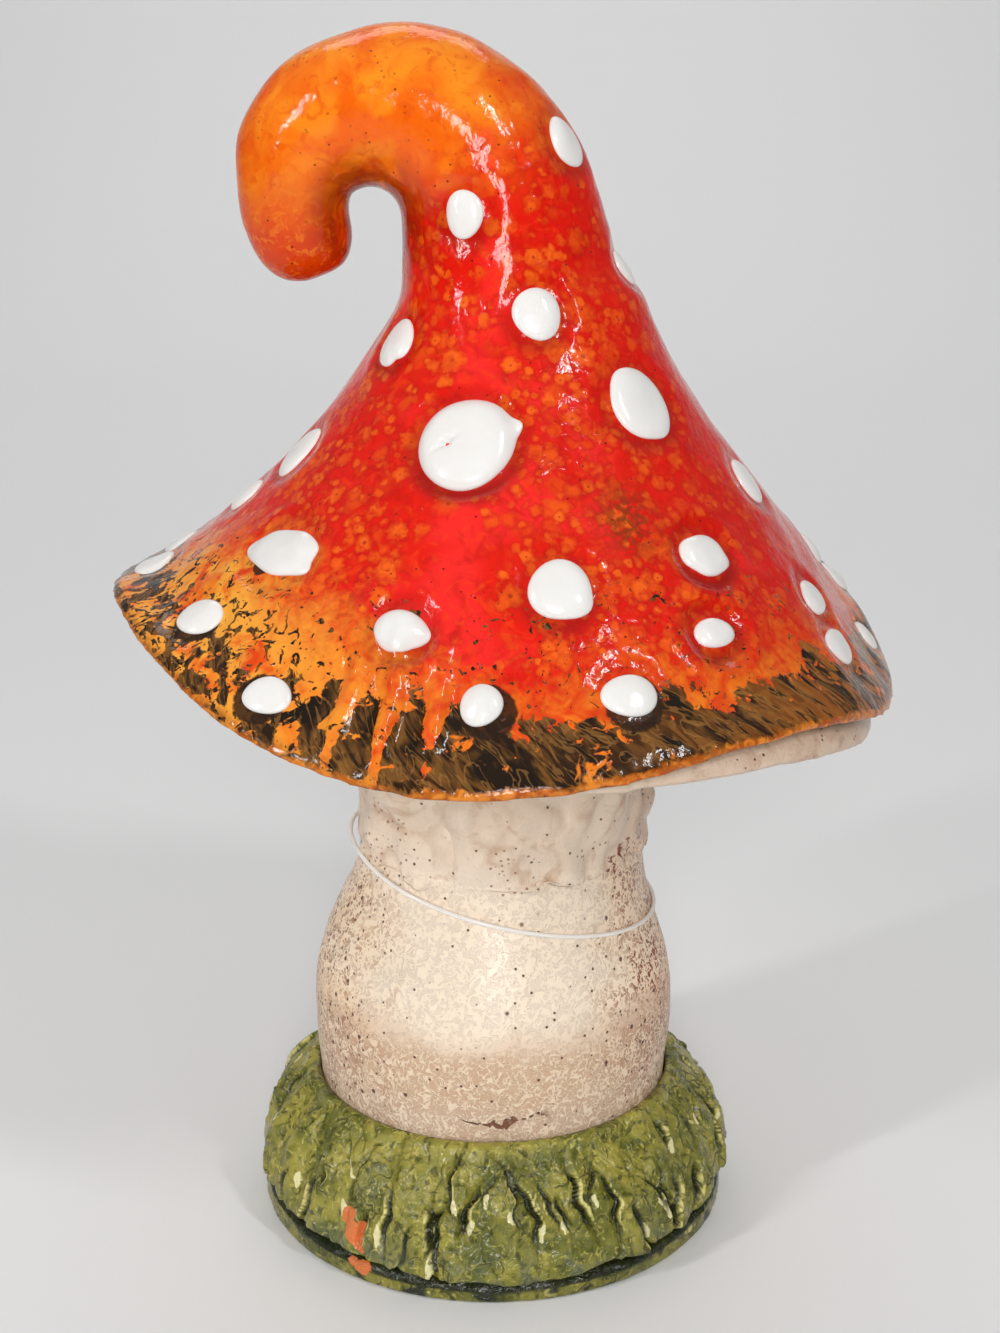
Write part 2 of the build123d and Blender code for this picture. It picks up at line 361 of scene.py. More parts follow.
def turn_between(bearing, middle):
    return (bearing - middle + 180) % 360 - 180


def facing(bearing, middle, width):
    return bell(turn_between(bearing, middle), 0, width)


# %% [markdown]
# ## The hat
# The hat is the piece that everyone looks at: a soft cone of clay that ends in a curl. It could be
# lathed, but its brim is wavy, so its CAD loft is used. The thin lip and the tip of the curl are smoothed
# most, because a remesh leaves them serrated.

# %% Hat: skin
HAT_X = 3.0
RIM_R = 97.5
THROAT_Z = 255.5
CURL_FOOT_Z = 240.0
HAT_VOXEL = 1.3
HAT_ROUNDS = 5
LIP_SOFT = 8.0
LIP_ROUNDS = 40
TIP_X = -30.0
TIP_BELOW = 8.0
TIP_ROUNDS = 60
hat = clay_copy("cap_shell", "hat", HAT_VOXEL, HAT_ROUNDS)
hat_mm, _ = points_of(hat)
hat_reach, _, _ = around(hat_mm, HAT_X)
soften(hat, hat_reach > RIM_R - LIP_SOFT, LIP_ROUNDS)
tip_height = (hat_mm[:, 2] > CURL_FOOT_Z - TIP_BELOW) & (hat_mm[:, 2] < THROAT_Z)
soften(hat, tip_height & (hat_mm[:, 0] < TIP_X), TIP_ROUNDS)

# %% [markdown]
# The folds and the glaze ask how far a point lies from the lip, down the slope, and how far along the
# curl, as a turn about its eye. The lip is found by bearing, since it isn't a circle.

# %% Hat: measures of each point
THROAT_R = 24.0
EYE_X = -28.5
SLOPE = 97.0
CURL_END = 200.0
LIP_BIN = 3
hat_mm, hat_normals = points_of(hat)
hat_reach, hat_bearing, hat_out = around(hat_mm, HAT_X)
hat_share = np.clip((hat_reach - THROAT_R) / (RIM_R - THROAT_R), 0, 1)
lip_bin = (hat_bearing + 180).astype(int) // LIP_BIN
lip_reach = np.zeros(360 // LIP_BIN + 1)
np.maximum.at(lip_reach, lip_bin, hat_reach)
hat_edge = (lip_reach[lip_bin] - hat_reach) * SLOPE / (RIM_R - THROAT_R)
hat_edge = np.where(hat_mm[:, 2] > CURL_FOOT_Z, SLOPE, np.clip(hat_edge, 0, SLOPE))
curl_turn = np.degrees(np.arctan2(hat_mm[:, 2] - THROAT_Z, hat_mm[:, 0] - EYE_X))
hat_curl = np.where((hat_mm[:, 0] < EYE_X) & (curl_turn < 0), curl_turn + 360, curl_turn)
hat_curl = np.where(hat_mm[:, 2] > CURL_FOOT_Z, np.clip(hat_curl, 0, CURL_END), 0)
print("lip reaches", round(float(lip_reach.max()), 1), "mm from the middle of the hat")

# %% [markdown]
# Where the dots sit and face is read from their CAD domes, so that the rings in the hat and the dots
# pressed on later agree.

# %% Hat: where the dots sit
DOT_NAMES = sorted(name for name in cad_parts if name.startswith("dot_"))
dot_places = {}
for name in DOT_NAMES:
    node_mm = np.array([vertex.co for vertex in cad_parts[name].data.vertices]) / MM
    middle = (node_mm.min(0) + node_mm.max(0)) / 2
    axes = np.linalg.svd(node_mm - node_mm.mean(0), full_matrices=False)[2]
    dot_places[name] = (middle, axes[2], node_mm)
print("dots measured:", len(dot_places))

# %% [markdown]
# The brim was pinched while soft, which left sharp folds in front and softer ones all round. They are
# real relief, so points are moved and no bump is used. The lip stays calm, for a smooth outline.

# %% Hat: folds of the brim
FOLD_MIDDLE = -107.0
FOLD_STEP = 7.0
FOLD_SPAN = 15.0
FOLD_REACH = 38.0
FOLD_FULL = 10.0
FOLD_DRIFT = (1.6, 16.0, 5.0)
FOLD_CREST, FOLD_DIP = 1.6, 0.6
SOFT_FOLD_TURN, SOFT_FOLD_LONG, SOFT_FOLD_SEED = 9, 60, 3.0
SOFT_FOLD_REACH = 45.0
LIP_CALM = 0.35
LIP_CALM_EDGE = (1.0, 7.0)
fold_turn = turn_between(hat_bearing, FOLD_MIDDLE)
fold_window = np.clip(1 - (fold_turn / FOLD_SPAN) ** 2, 0, 1)
fold_fade = fade(-hat_edge, -FOLD_REACH, -FOLD_FULL)
fold_wave = 0.5 + 0.5 * np.cos(2 * math.pi * (fold_turn + dents(hat_mm, FOLD_DRIFT)) / FOLD_STEP)
hat_fold = (FOLD_CREST * fold_wave**2 - FOLD_DIP) * fold_window * fold_fade
fold_places = np.stack([hat_bearing / SOFT_FOLD_TURN, hat_edge / SOFT_FOLD_LONG, hat_edge * 0], 1)
soft_folds = lumps(fold_places, 1.0, SOFT_FOLD_SEED) * fade(-hat_edge, -SOFT_FOLD_REACH, 0.0)
lip_calm = LIP_CALM + (1 - LIP_CALM) * fade(hat_edge, *LIP_CALM_EDGE)
print("points on the sharp folds:", int((hat_fold > 0).sum()))

# %% [markdown]
# A finger that presses a dot on leaves a shallow ring with a slight swell outside. Red glaze pools in the
# ring, most of all below the dot.

# %% Hat: rings pressed around the dots
RING_OUT, RING_DEPTH, RING_WIDTH = 1.0, 0.75, 1.7
SWELL_OUT, SWELL_HEIGHT, SWELL_WIDTH = 5.0, 0.35, 2.0
POOL_OUT, POOL_WIDTH = 1.2, 2.2
POOL_ABOVE = 0.4
BELOW_BIAS = 0.25
DOT_SHARE = 0.93
PLAIN_RING = 0.6
DEEP_RINGS = {"dot_03": 1.5, "dot_12": 1.6, "dot_13": 0.7, "dot_17": 1.2, "dot_18": 0.8, "dot_16": 1.5}
ring_push = np.zeros(len(hat_mm))
hat_pool = np.zeros(len(hat_mm))
for name, (middle, axis, node_mm) in dot_places.items():
    radius = np.linalg.norm(node_mm - middle, axis=1).max() * DOT_SHARE
    away = hat_mm - middle
    distance = np.linalg.norm(away, axis=1)
    below = np.clip(-away[:, 2] / np.maximum(distance, 1) + BELOW_BIAS, 0, 1)
    depth = DEEP_RINGS.get(name, PLAIN_RING)
    ring_push -= depth * RING_DEPTH * bell(distance, radius + RING_OUT, RING_WIDTH)
    ring_push += SWELL_HEIGHT * depth * bell(distance, radius + SWELL_OUT, SWELL_WIDTH)
    pool = min(depth, 1) * bell(distance, radius + POOL_OUT, POOL_WIDTH)
    hat_pool = np.maximum(hat_pool, pool * (POOL_ABOVE + (1 - POOL_ABOVE) * below))
print("rings go down to", round(float(-ring_push.min()), 2), "mm")

# %% [markdown]
# All pushes are added up and the points moved once, along their normals. The lip grows back what the
# smoothing took, and the tip of the curl is bent a little further in and down, as in the photograph.

# %% Hat: push the skin
HAT_DENTS = ((0.9, 30.0, 0.0), (0.35, 10.0, 2.0))
FOLD_DEPTH = 2.0
SOFT_FOLD_DEPTH = 0.9
LIP_REGROW = 1.5
TIP_IN, TIP_DOWN = 4.2, 2.8
TIP_TURN = (115.0, 215.0)
TIP_BASE = (226.0, 232.0)
SETTLE_ROUNDS = 2
EDGE_ROUNDS = 16
RIM_ROUNDS = 60
hat_push = dents(hat_mm, *HAT_DENTS)
hat_push += FOLD_DEPTH * hat_fold + SOFT_FOLD_DEPTH * soft_folds
hat_push = hat_push * lip_calm + ring_push
hat_places = hat_mm + hat_normals * hat_push[:, None]
hat_places[:, :2] += hat_out * (LIP_REGROW * fade(-hat_edge, -LIP_SOFT, -1.0))[:, None]
tip_bend = fade(curl_turn % 360, *TIP_TURN) * fade(hat_mm[:, 2], *TIP_BASE)
tip_bend *= hat_mm[:, 0] < EYE_X
hat_places[:, 0] += TIP_IN * tip_bend
hat_places[:, 2] -= TIP_DOWN * tip_bend
set_points(hat, hat_places)
apply_modifier(hat, "SMOOTH", factor=SMOOTHING, iterations=SETTLE_ROUNDS)
soften(hat, hat_edge < LIP_SOFT, EDGE_ROUNDS)
soften(hat, hat_edge < LIP_SOFT / 2, RIM_ROUNDS)
hat_tree = skin_tree(hat)

# %% [markdown]
# The glaze asks where on the hat it is. A painted texture would do, but one number per point is lighter
# and follows the shape. The brush mark is a place that runs around the brim, for strokes to follow.

# %% Hat: marks for the glaze
BAND_WIDTH = 13.0
BAND_WAVES = ((1, 4.0, 165), (2, 2.5, 60))
BURN_SHARE = (0.47, 0.07)
BURN_SIDE = (-62.0, 7.0)
AMBER_SIDE = (-146.0, 36.0)
RIGHT_SIDE = (-18.0, 34.0)
CALM_SIDE = (-99.0, 15.0)
LIVELY_SIDE = (-50.0, 28.0)
LIVELY = 0.6
INNER_REACH = (-20.0, -9.0)
INNER_BASE = (226.0, 244.0)
BRUSH_LEAN = 0.9
BRUSH_STRETCH = 0.6
band_width = np.full(len(hat_mm), BAND_WIDTH)
for count, width, shift in BAND_WAVES:
    band_width += width * np.cos(np.radians(count * hat_bearing + shift))
eye_reach = np.hypot(hat_mm[:, 0] - EYE_X, hat_mm[:, 2] - THROAT_Z)
brush_turn = np.radians(hat_bearing) + BRUSH_LEAN * hat_edge / RIM_R
brush = [RIM_R * np.cos(brush_turn), RIM_R * np.sin(brush_turn), BRUSH_STRETCH * hat_edge]
hat_marks = {
    "band": band_width - hat_edge,
    "edge": hat_edge,
    "curl": hat_curl,
    "inner": fade(-eye_reach, *INNER_REACH) * fade(hat_mm[:, 2], *INNER_BASE),
    "fold": hat_fold,
    "pool": hat_pool,
    "burn": bell(hat_share, *BURN_SHARE) * facing(hat_bearing, *BURN_SIDE),
    "amber": facing(hat_bearing, *AMBER_SIDE),
    "right": facing(hat_bearing, *RIGHT_SIDE),
    "calm": facing(hat_bearing, *CALM_SIDE) - LIVELY * facing(hat_bearing, *LIVELY_SIDE),
    "brush": np.stack(brush, 1) * MM,
}
write(hat, hat_marks)

# %% [markdown]
# ## Glazing with nodes
# A glaze is colour that has flowed: it has cells, pools, pinholes and ragged edges. It could be wired up
# by hand in the node editor. The helpers below make a node, link it and hand back its output, so that a
# glaze reads as a short recipe. Add and share are a sum and a product, and step rises from 0 to 1 between
# two values. Coats lay tones over a base in turn, each as strongly as the product of its shares.

# %% Helpers for glaze: sums and mixes
MIX_FIRST, MIX_SECOND, MIX_RESULT = 6, 7, 2
THREAD_CORE = 0.4


def colour(red, green, blue):
    def linear(value):
        share = value / 255
        return share / 12.92 if share <= 0.04045 else ((share + 0.055) / 1.055) ** 2.4

    return (linear(red), linear(green), linear(blue), 1)


def put(socket, value):
    if isinstance(value, bpy.types.NodeSocket):
        socket.id_data.links.new(value, socket)
    else:
        socket.default_value = value


def make_node(tree, kind, values, **settings):
    made = tree.nodes.new(kind)
    for name, value in settings.items():
        setattr(made, name, value)
    for name, value in values.items():
        put(made.inputs[name], value)
    return made


def calc(first, operation, second=0.0):
    tree = next(value.id_data for value in (first, second) if isinstance(value, bpy.types.NodeSocket))
    return make_node(tree, "ShaderNodeMath", {0: first, 1: second}, operation=operation).outputs[0]


def chain(operation, first, *others):
    for other in others:
        first = calc(first, operation, other)
    return first


def share(*parts):
    return chain("MULTIPLY", *parts)


def add(*parts):
    return chain("ADD", *parts)


def rest(value):
    return calc(1.0, "SUBTRACT", value)


def most(first, second):
    return calc(first, "MAXIMUM", second)


def swing(value, reach):
    return share(add(value, -0.5), reach)


def step(value, low, high):
    values = {"Value": value, "From Min": low, "From Max": high}
    made = make_node(value.id_data, "ShaderNodeMapRange", values, interpolation_type="SMOOTHSTEP")
    return made.outputs[0]


def thread(value, wide):
    return step(calc(add(value, -0.5), "ABSOLUTE"), wide, THREAD_CORE * wide)


def mix(amount, first, second):
    made = make_node(amount.id_data, "ShaderNodeMix", {0: amount}, data_type="RGBA")
    put(made.inputs[MIX_FIRST], first)
    put(made.inputs[MIX_SECOND], second)
    return made.outputs[MIX_RESULT]


def coats(base, *layers):
    for tone, *shares in layers:
        base = mix(share(*shares), base, tone)
    return base


# %% [markdown]
# A cloud is a noise with a feature size in millimetres, a detail and a warp, and patches are where it
# rises between two values. Cells are a Voronoi pattern, for bubbles, and specks keep some of them by
# chance. All sit on object coordinates, which stay put when the object moves and need no unwrapping.

# %% Helpers for glaze: patterns and finish
SPECK_CORE = 0.6
SPECK_FADE = 0.05
NEAR_CORE = 0.9
RAGGED = (2.6, 2.0, 1.0)


class Glaze:
    def __init__(self, name):
        self.material = bpy.data.materials.new(name)
        self.material.use_nodes = True
        self.tree = self.material.node_tree
        self.shader = self.tree.nodes["Principled BSDF"]
        self.place = self.node("ShaderNodeTexCoord", {}).outputs["Object"]

    def node(self, kind, values, **settings):
        return make_node(self.tree, kind, values, **settings)

    def mark(self, name, output="Fac"):
        return self.node("ShaderNodeAttribute", {}, attribute_name=name).outputs[output]

    def cloud(self, size, detail=2.0, warp=0.0, place=None):
        values = {"Scale": 1 / (size * MM), "Detail": detail, "Distortion": warp}
        values["Vector"] = place or self.place
        return self.node("ShaderNodeTexNoise", values).outputs["Fac"]

    def patches(self, low, high, *cloud):
        return step(self.cloud(*cloud), low, high)

    def cells(self, size):
        values = {"Vector": self.place, "Scale": 1 / (size * MM)}
        made = self.node("ShaderNodeTexVoronoi", values)
        chance = self.node("ShaderNodeSeparateColor", {"Color": made.outputs["Color"]})
        return made.outputs["Distance"], chance.outputs[0], chance.outputs[1]

    def specks(self, size, radius, rarity):
        distance, chance, _ = self.cells(size)
        speck = step(distance, radius / size, SPECK_CORE * radius / size)
        sure = rarity + SPECK_FADE if isinstance(rarity, float) else add(rarity, SPECK_FADE)
        return share(speck, step(chance, rarity, sure))

    def near(self, middle, reach, ragged):
        values = {0: self.place, 1: [value * MM for value in middle]}
        apart = self.node("ShaderNodeVectorMath", values, operation="DISTANCE").outputs["Value"]
        apart = add(apart, swing(self.cloud(*RAGGED), ragged * MM))
        return step(apart, reach * MM, NEAR_CORE * reach * MM)

    def warped(self, size, reach):
        drift = self.node("ShaderNodeTexNoise", {"Vector": self.place, "Scale": 1 / (size * MM)})
        values = {0: drift.outputs["Color"], 1: [2 * reach * MM] * 3, 2: self.place}
        return self.node("ShaderNodeVectorMath", values, operation="MULTIPLY_ADD").outputs["Vector"]

    def cracks(self, size, place):
        values = {"Vector": place, "Scale": 1 / (size * MM)}
        return self.node("ShaderNodeTexVoronoi", values, feature="DISTANCE_TO_EDGE").outputs["Distance"]

    def height(self, *layers):
        total = add(*[share(value, depth * MM) for value, depth in layers])
        made = self.node("ShaderNodeBump", {"Height": total, "Strength": 1.0, "Distance": 1.0})
        put(self.shader.inputs["Normal"], made.outputs[0])

    def finish(self, piece, base, roughness, shine=0.5):
        put(self.shader.inputs["Base Color"], base)
        self.shader.inputs["Roughness"].default_value = roughness
        self.shader.inputs["Specular IOR Level"].default_value = shine
        piece.data.materials.clear()
        piece.data.materials.append(self.material)

    def tell(self, what):
        print(what, "done,", len(self.tree.nodes), "nodes in", self.material.name)


# %% [markdown]
# ## Red glaze
# The hat's red is glossy and has flowed, with dark veins, orange flares and pinker patches. Down the front
# the pink is painted sheen, a reflection of the front light.
# One colour with a bump would look like plastic, so clouds of different size are laid over each other.

# %% Red glaze: ground
SCARLET = colour(224, 24, 6)
PINK_AND_SHEEN_RED = colour(242, 40, 34)
VEIN_RED = colour(184, 14, 6)
FLARE_ORANGE = colour(240, 62, 16)
red = Glaze("cap_glaze")
calm_mark = red.mark("calm")
# pink in patches, gathered down the front, where it is painted sheen of the front light
patch = step(add(red.cloud(30.0, 2.0, 0.4), share(calm_mark, 0.16)), 0.52, 0.64)
ground = coats(
    mix(patch, SCARLET, PINK_AND_SHEEN_RED),
    (VEIN_RED, red.patches(0.46, 0.70, 7.0, 4.0, 1.2), 0.55),
    (FLARE_ORANGE, red.patches(0.50, 0.72, 5.0, 3.0, 1.6), 0.6),
)
red.tell("red ground")

# %% [markdown]
# Under the shine the red has broken into soft orange cells with a dark halo, some with a pore. Three sizes
# of Voronoi cell overlap, and each cell draws its size and tint by chance. The front patch has fewer.

# %% Red glaze: cells
CELL_LAYERS = ((7.4, 0.49), (4.8, 0.45), (3.1, 0.51))
HALO_RED = colour(184, 16, 4)
CELL_DEEP = colour(228, 62, 10)
CELL_LIGHT = colour(244, 104, 22)
PORE_BROWN = colour(132, 30, 6)
RIGHT_RED = colour(214, 14, 0)
cell_field = add(red.cloud(26.0, 2.0, 0.3), share(calm_mark, -0.16))
for size, low in CELL_LAYERS:
    distance, chance, tint = red.cells(size)
    room = add(share(chance, 0.22), 0.18)
    apart = add(distance, swing(red.cloud(1.7, 2.0), 0.7), share(room, -1.0))
    shown = step(add(cell_field, share(tint, 0.24)), low, low + 0.14)
    pore = share(step(distance, 0.10, 0.05), step(tint, 0.5, 0.55), shown)
    ground = coats(
        ground,
        (HALO_RED, step(apart, 0.32, 0.10), shown, 0.4),
        (mix(tint, CELL_DEEP, CELL_LIGHT), step(apart, 0.18, -0.16), shown, 0.9),
        (PORE_BROWN, pore, 0.7),
    )
right_mark = red.mark("right")
ground = coats(ground, (RIGHT_RED, right_mark, 0.4))
red.tell("orange cells")

# %% [markdown]
# Along the curl the red thins to clear orange, redder and freckled at the tip. It pooled and is dark in
# the rings around the dots. The brown inside the bend is painted shade.

# %% Red glaze: orange curl and pools
ORANGE = colour(236, 98, 6)
LIGHT_ORANGE = colour(246, 140, 26)
DEEP_ORANGE = colour(222, 78, 4)
TIP_RED = colour(206, 52, 2)
DAPPLE = colour(238, 132, 28)
FRECKLE_BROWN = colour(158, 58, 8)
INNER_SHADE_BROWN = colour(138, 34, 8)
POOL_RED = colour(146, 14, 6)
curl_mark = red.mark("curl")
tip = step(add(curl_mark, swing(red.cloud(14.0, 3.0, 0.6), 50.0)), 130.0, 195.0)
orange = coats(
    mix(red.patches(0.36, 0.66, 15.0, 4.0, 1.0), ORANGE, LIGHT_ORANGE),
    (DEEP_ORANGE, red.patches(0.50, 0.70, 4.0, 3.0, 1.4), 0.6),
    (TIP_RED, tip, 0.9),
    (DAPPLE, red.patches(0.52, 0.66, 2.2, 3.0, 1.0), add(share(tip, 0.4), 0.15)),
    (FRECKLE_BROWN, red.specks(2.6, 0.42, 0.45), 0.55),
)
curl = add(curl_mark, share(red.cloud(13.0, 3.0, 0.6), 60.0))
ground = coats(
    ground,
    (orange, step(curl, 40.0, 88.0)),
    # painted shade inside the bend of the curl
    (INNER_SHADE_BROWN, red.mark("inner"), red.patches(0.25, 0.60, 6.0, 3.0, 0.8), 0.8),
    (POOL_RED, red.mark("pool"), 0.9),
)
red.tell("curl and pools")

# %% [markdown]
# Towards the lip the red gives way to amber, most yellow at the left and tawny at the right. A large
# cloud makes its border wander and a small one makes it ragged.

# %% Red glaze: amber under the brim band
AMBER_RED = colour(222, 68, 12)
AMBER = colour(238, 128, 28)
AMBER_YELLOW = colour(246, 170, 58)
TAWNY = colour(186, 92, 22)
edge = red.mark("edge")
amber_mark = red.mark("amber")
tawny = red.patches(0.40, 0.60, 9.0, 3.0, 1.0)
amber = coats(
    mix(red.patches(0.36, 0.64, 6.0, 4.0, 1.2), AMBER_RED, AMBER),
    (AMBER_YELLOW, amber_mark, red.patches(0.34, 0.56, 8.0, 4.0, 1.0)),
    (TAWNY, right_mark, step(edge, 42.0, 20.0), tawny, 0.6),
)
wander = swing(red.cloud(16.0, 3.0, 0.6), 30.0)
ragged = swing(red.cloud(3.2, 4.0, 1.2), 20.0)
amber_room = add(share(amber_mark, 22.0), 16.0)
amber_line = add(edge, wander, ragged, share(amber_room, -1.0))
ground = coats(ground, (amber, step(amber_line, 10.0, -14.0), 0.95))
red.tell("amber")

# %% [markdown]
# A dark brown glaze was brushed over the amber along the brim. It tore into patches, ran off the crests
# of the folds, left spots beyond its border and wore off at the very lip, which shows tan.

# %% Red glaze: where the brown band covers
LIP_BROWN = colour(150, 78, 22)
LIP_TAN = colour(214, 132, 46)
band = add(red.mark("band"), wander, ragged, share(red.mark("fold"), -17.0))
torn = step(add(red.cloud(6.0, 3.0, 0.8), share(amber_mark, 0.17)), 0.64, 0.68)
covered = share(step(band, -0.5, 1.0), rest(torn))
near_band = share(step(band, -24.0, -1.0), add(share(amber_mark, 0.75), 0.06))
spots = step(add(red.cloud(3.0, 3.0, 1.4), share(near_band, 0.14)), 0.655, 0.685)
covered = most(covered, share(spots, step(band, -26.0, -18.0)))
lip_line = add(edge, share(ragged, 0.16), share(amber_mark, 0.5))
covered = share(covered, step(lip_line, 0.3, 1.4))
lip_tone = mix(red.patches(0.38, 0.62, 3.0, 3.0, 1.0), LIP_BROWN, LIP_TAN)
ground = coats(ground, (lip_tone, step(edge, 4.0, 1.0), 0.8))
red.tell("edge of the band")

# %% [markdown]
# The strokes in the band lean along the brim. Clouds that are read from the brush mark, and not from the
# place on the object, are drawn out along it as bristles would.

# %% Red glaze: strokes in the band
BAND_DARK = colour(40, 24, 10)
BAND_BROWN = colour(116, 76, 32)
BAND_BLACK = colour(28, 19, 11)
BAND_WARM = colour(188, 108, 34)
BAND_BLOT = colour(54, 28, 10)
BAND_HAIR = colour(166, 116, 58)
brush_place = red.mark("brush", "Vector")
stroke = red.cloud(4.0, 4.0, 1.8, brush_place)
dark = coats(
    mix(step(stroke, 0.38, 0.66), BAND_DARK, BAND_BROWN),
    (BAND_BLACK, red.patches(0.48, 0.64, 10.0, 2.0, 0.5)),
    (BAND_WARM, right_mark, red.patches(0.46, 0.52, 5.0, 4.0, 1.6, brush_place), 0.8),
    (BAND_BLOT, right_mark, red.patches(0.54, 0.62, 3.4, 4.0, 1.4, brush_place), 0.8),
    (BAND_HAIR, thread(red.cloud(5.0, 2.0, 1.6, brush_place), 0.035), 0.35),
)
ground = coats(ground, (dark, covered))
red.tell("strokes")

# %% [markdown]
# Dark glaze gathered under some of the low dots, and the patch there is also painted shadow of the dot.
# Each patch is a ragged ball beside its dot.

# %% Red glaze: dark glaze and painted shadow around the low dots
DARK_GLAZE_AND_SHADOW = {
    "dot_08": (-2.4, -4.4, 3.2),
    "dot_10": (0.4, -0.9, 6.5),
    "dot_11": (-1.1, -1.4, 6.5),
    "dot_14": (1.5, -1.6, 6.7),
    "dot_15": (0.6, -1.7, 7.1),
}
GLAZE_SHADOW_RAGGED = 1.6
GLAZE_SHADOW_BLACK = colour(18, 10, 6)
GLAZE_SHADOW_BROWN = colour(62, 38, 20)
glaze_shadow_tone = mix(stroke, GLAZE_SHADOW_BLACK, GLAZE_SHADOW_BROWN)
for name, (across, along, reach) in DARK_GLAZE_AND_SHADOW.items():
    middle, axis, _ = dot_places[name]
    turn = math.atan2(middle[1], middle[0] - HAT_X)
    level = Vector((-math.sin(turn), math.cos(turn), 0))
    up_slope = Vector(axis).cross(level)
    up_slope *= math.copysign(1, up_slope.z)
    # painted shadow below the dot, partly dark glaze gathered there
    glaze_and_shadow = red.near(Vector(middle) + level * across + up_slope * along, reach, GLAZE_SHADOW_RAGGED)
    ground = coats(ground, (glaze_shadow_tone, glaze_and_shadow, 0.94))
red.tell("glaze_and_shadow")

# %% [markdown]
# A small burn and many pinholes end the red. Its skin waves softly, which breaks up the highlights, and
# each pinhole is a dimple.

# %% Red glaze: burn, pinholes and shine
BURN_BROWN = colour(104, 52, 14)
PINHOLE_BROWN = colour(64, 14, 6)
pinhole = red.specks(3.0, 0.30, 0.40)
ground = coats(
    ground,
    (BURN_BROWN, red.mark("burn"), red.patches(0.40, 0.56, 3.0, 3.0, 1.5), 0.8),
    (PINHOLE_BROWN, pinhole, 0.85),
)
waves, ripples = red.cloud(7.0, 2.0), red.cloud(2.4, 2.0, 0.6)
red.height((waves, 0.45), (ripples, 0.15), (covered, 0.10), (pinhole, -0.15))
red.finish(hat, ground, roughness=0.12, shine=0.26)
red.tell("hat")

# %% [markdown]
# ## White dots
# Each dot was a pat of white slip pressed on with a finger, so its outline is uneven. Soft bumps pull it
# about, each with a bearing, a size and a width. The large dot in front has a small pit with a crease.

# %% White dots: outlines
WOBBLES = ((2, 0.035, 1.0), (3, 0.025, 2.1))
OUTLINES = {
    "dot_03": [(26, 0.17, 9), (250, -0.04, 40)],
    "dot_08": [(30, 0.26, 24), (64, 0.12, 20), (-20, 0.26, 18), (194, 0.26, 28)],
    "dot_12": [(-4, 0.13, 22), (-52, -0.08, 18)],
    "dot_13": [(-38, 0.09, 22), (-90, -0.08, 30)],
    "dot_17": [(130, 0.14, 24), (-35, 0.20, 22), (215, -0.10, 28)],
    "dot_04": [(120, 0.06, 24), (-62, 0.06, 24)],
    "dot_02": [(-48, -0.14, 16), (100, 0.05, 30)],
    "dot_16": [(100, 0.08, 40)],
    "dot_19": [(150, 0.12, 26), (-35, 0.12, 26)],
}
PITTED_DOT = "dot_03"
PIT_X, PIT_Y = -4.0, -0.3
PIT_DEPTH, PIT_WIDTH = 1.8, 0.9
SCAR_DEPTH, SCAR_WIDTH, SCAR_LONG, SCAR_SLANT = 0.7, 0.7, 3.2, 0.8


def outline_gain(name, seed, angle):
    gain = 1
    for count, size, shift in WOBBLES:
        gain += size * math.cos(count * angle + shift * seed)
    for middle, size, width in OUTLINES.get(name, []):
        apart = turn_between(math.degrees(angle), middle)
        gain += size * math.exp(-((apart / width) ** 2))
    return gain


def pit_depth(across, along):
    apart = math.hypot(across - PIT_X, along - PIT_Y)
    crease = math.exp(-(((along - PIT_Y) - SCAR_SLANT * (across - PIT_X)) / SCAR_WIDTH) ** 2)
    crease *= math.exp(-((apart / SCAR_LONG) ** 2))
    return PIT_DEPTH * math.exp(-((apart / PIT_WIDTH) ** 2)) + SCAR_DEPTH * crease


print("dots with an outline of their own:", len(OUTLINES))

# %% [markdown]
# A sphere is flattened to the size of its CAD dome, and a ray drops every point onto the skin of the hat,
# so that the dot follows the slope. A flat disc would leave gaps.

# %% White dots: how one is pressed on
DOT_RISE = 0.7
DOT_RISE_PER_SIZE = 0.055
DOT_SUNK = 0.9
DOT_SPREAD = 0.97
DOT_ROUND = 0.8
DOT_LUMP, DOT_LUMP_SIZE = 0.22, 5
DOT_SEGMENTS, PITTED_SEGMENTS = 48, 96
OUTLINE_SEED, LUMP_SEED = 1.7, 3.0
RAY_FROM, RAY_LONG = 12, 30


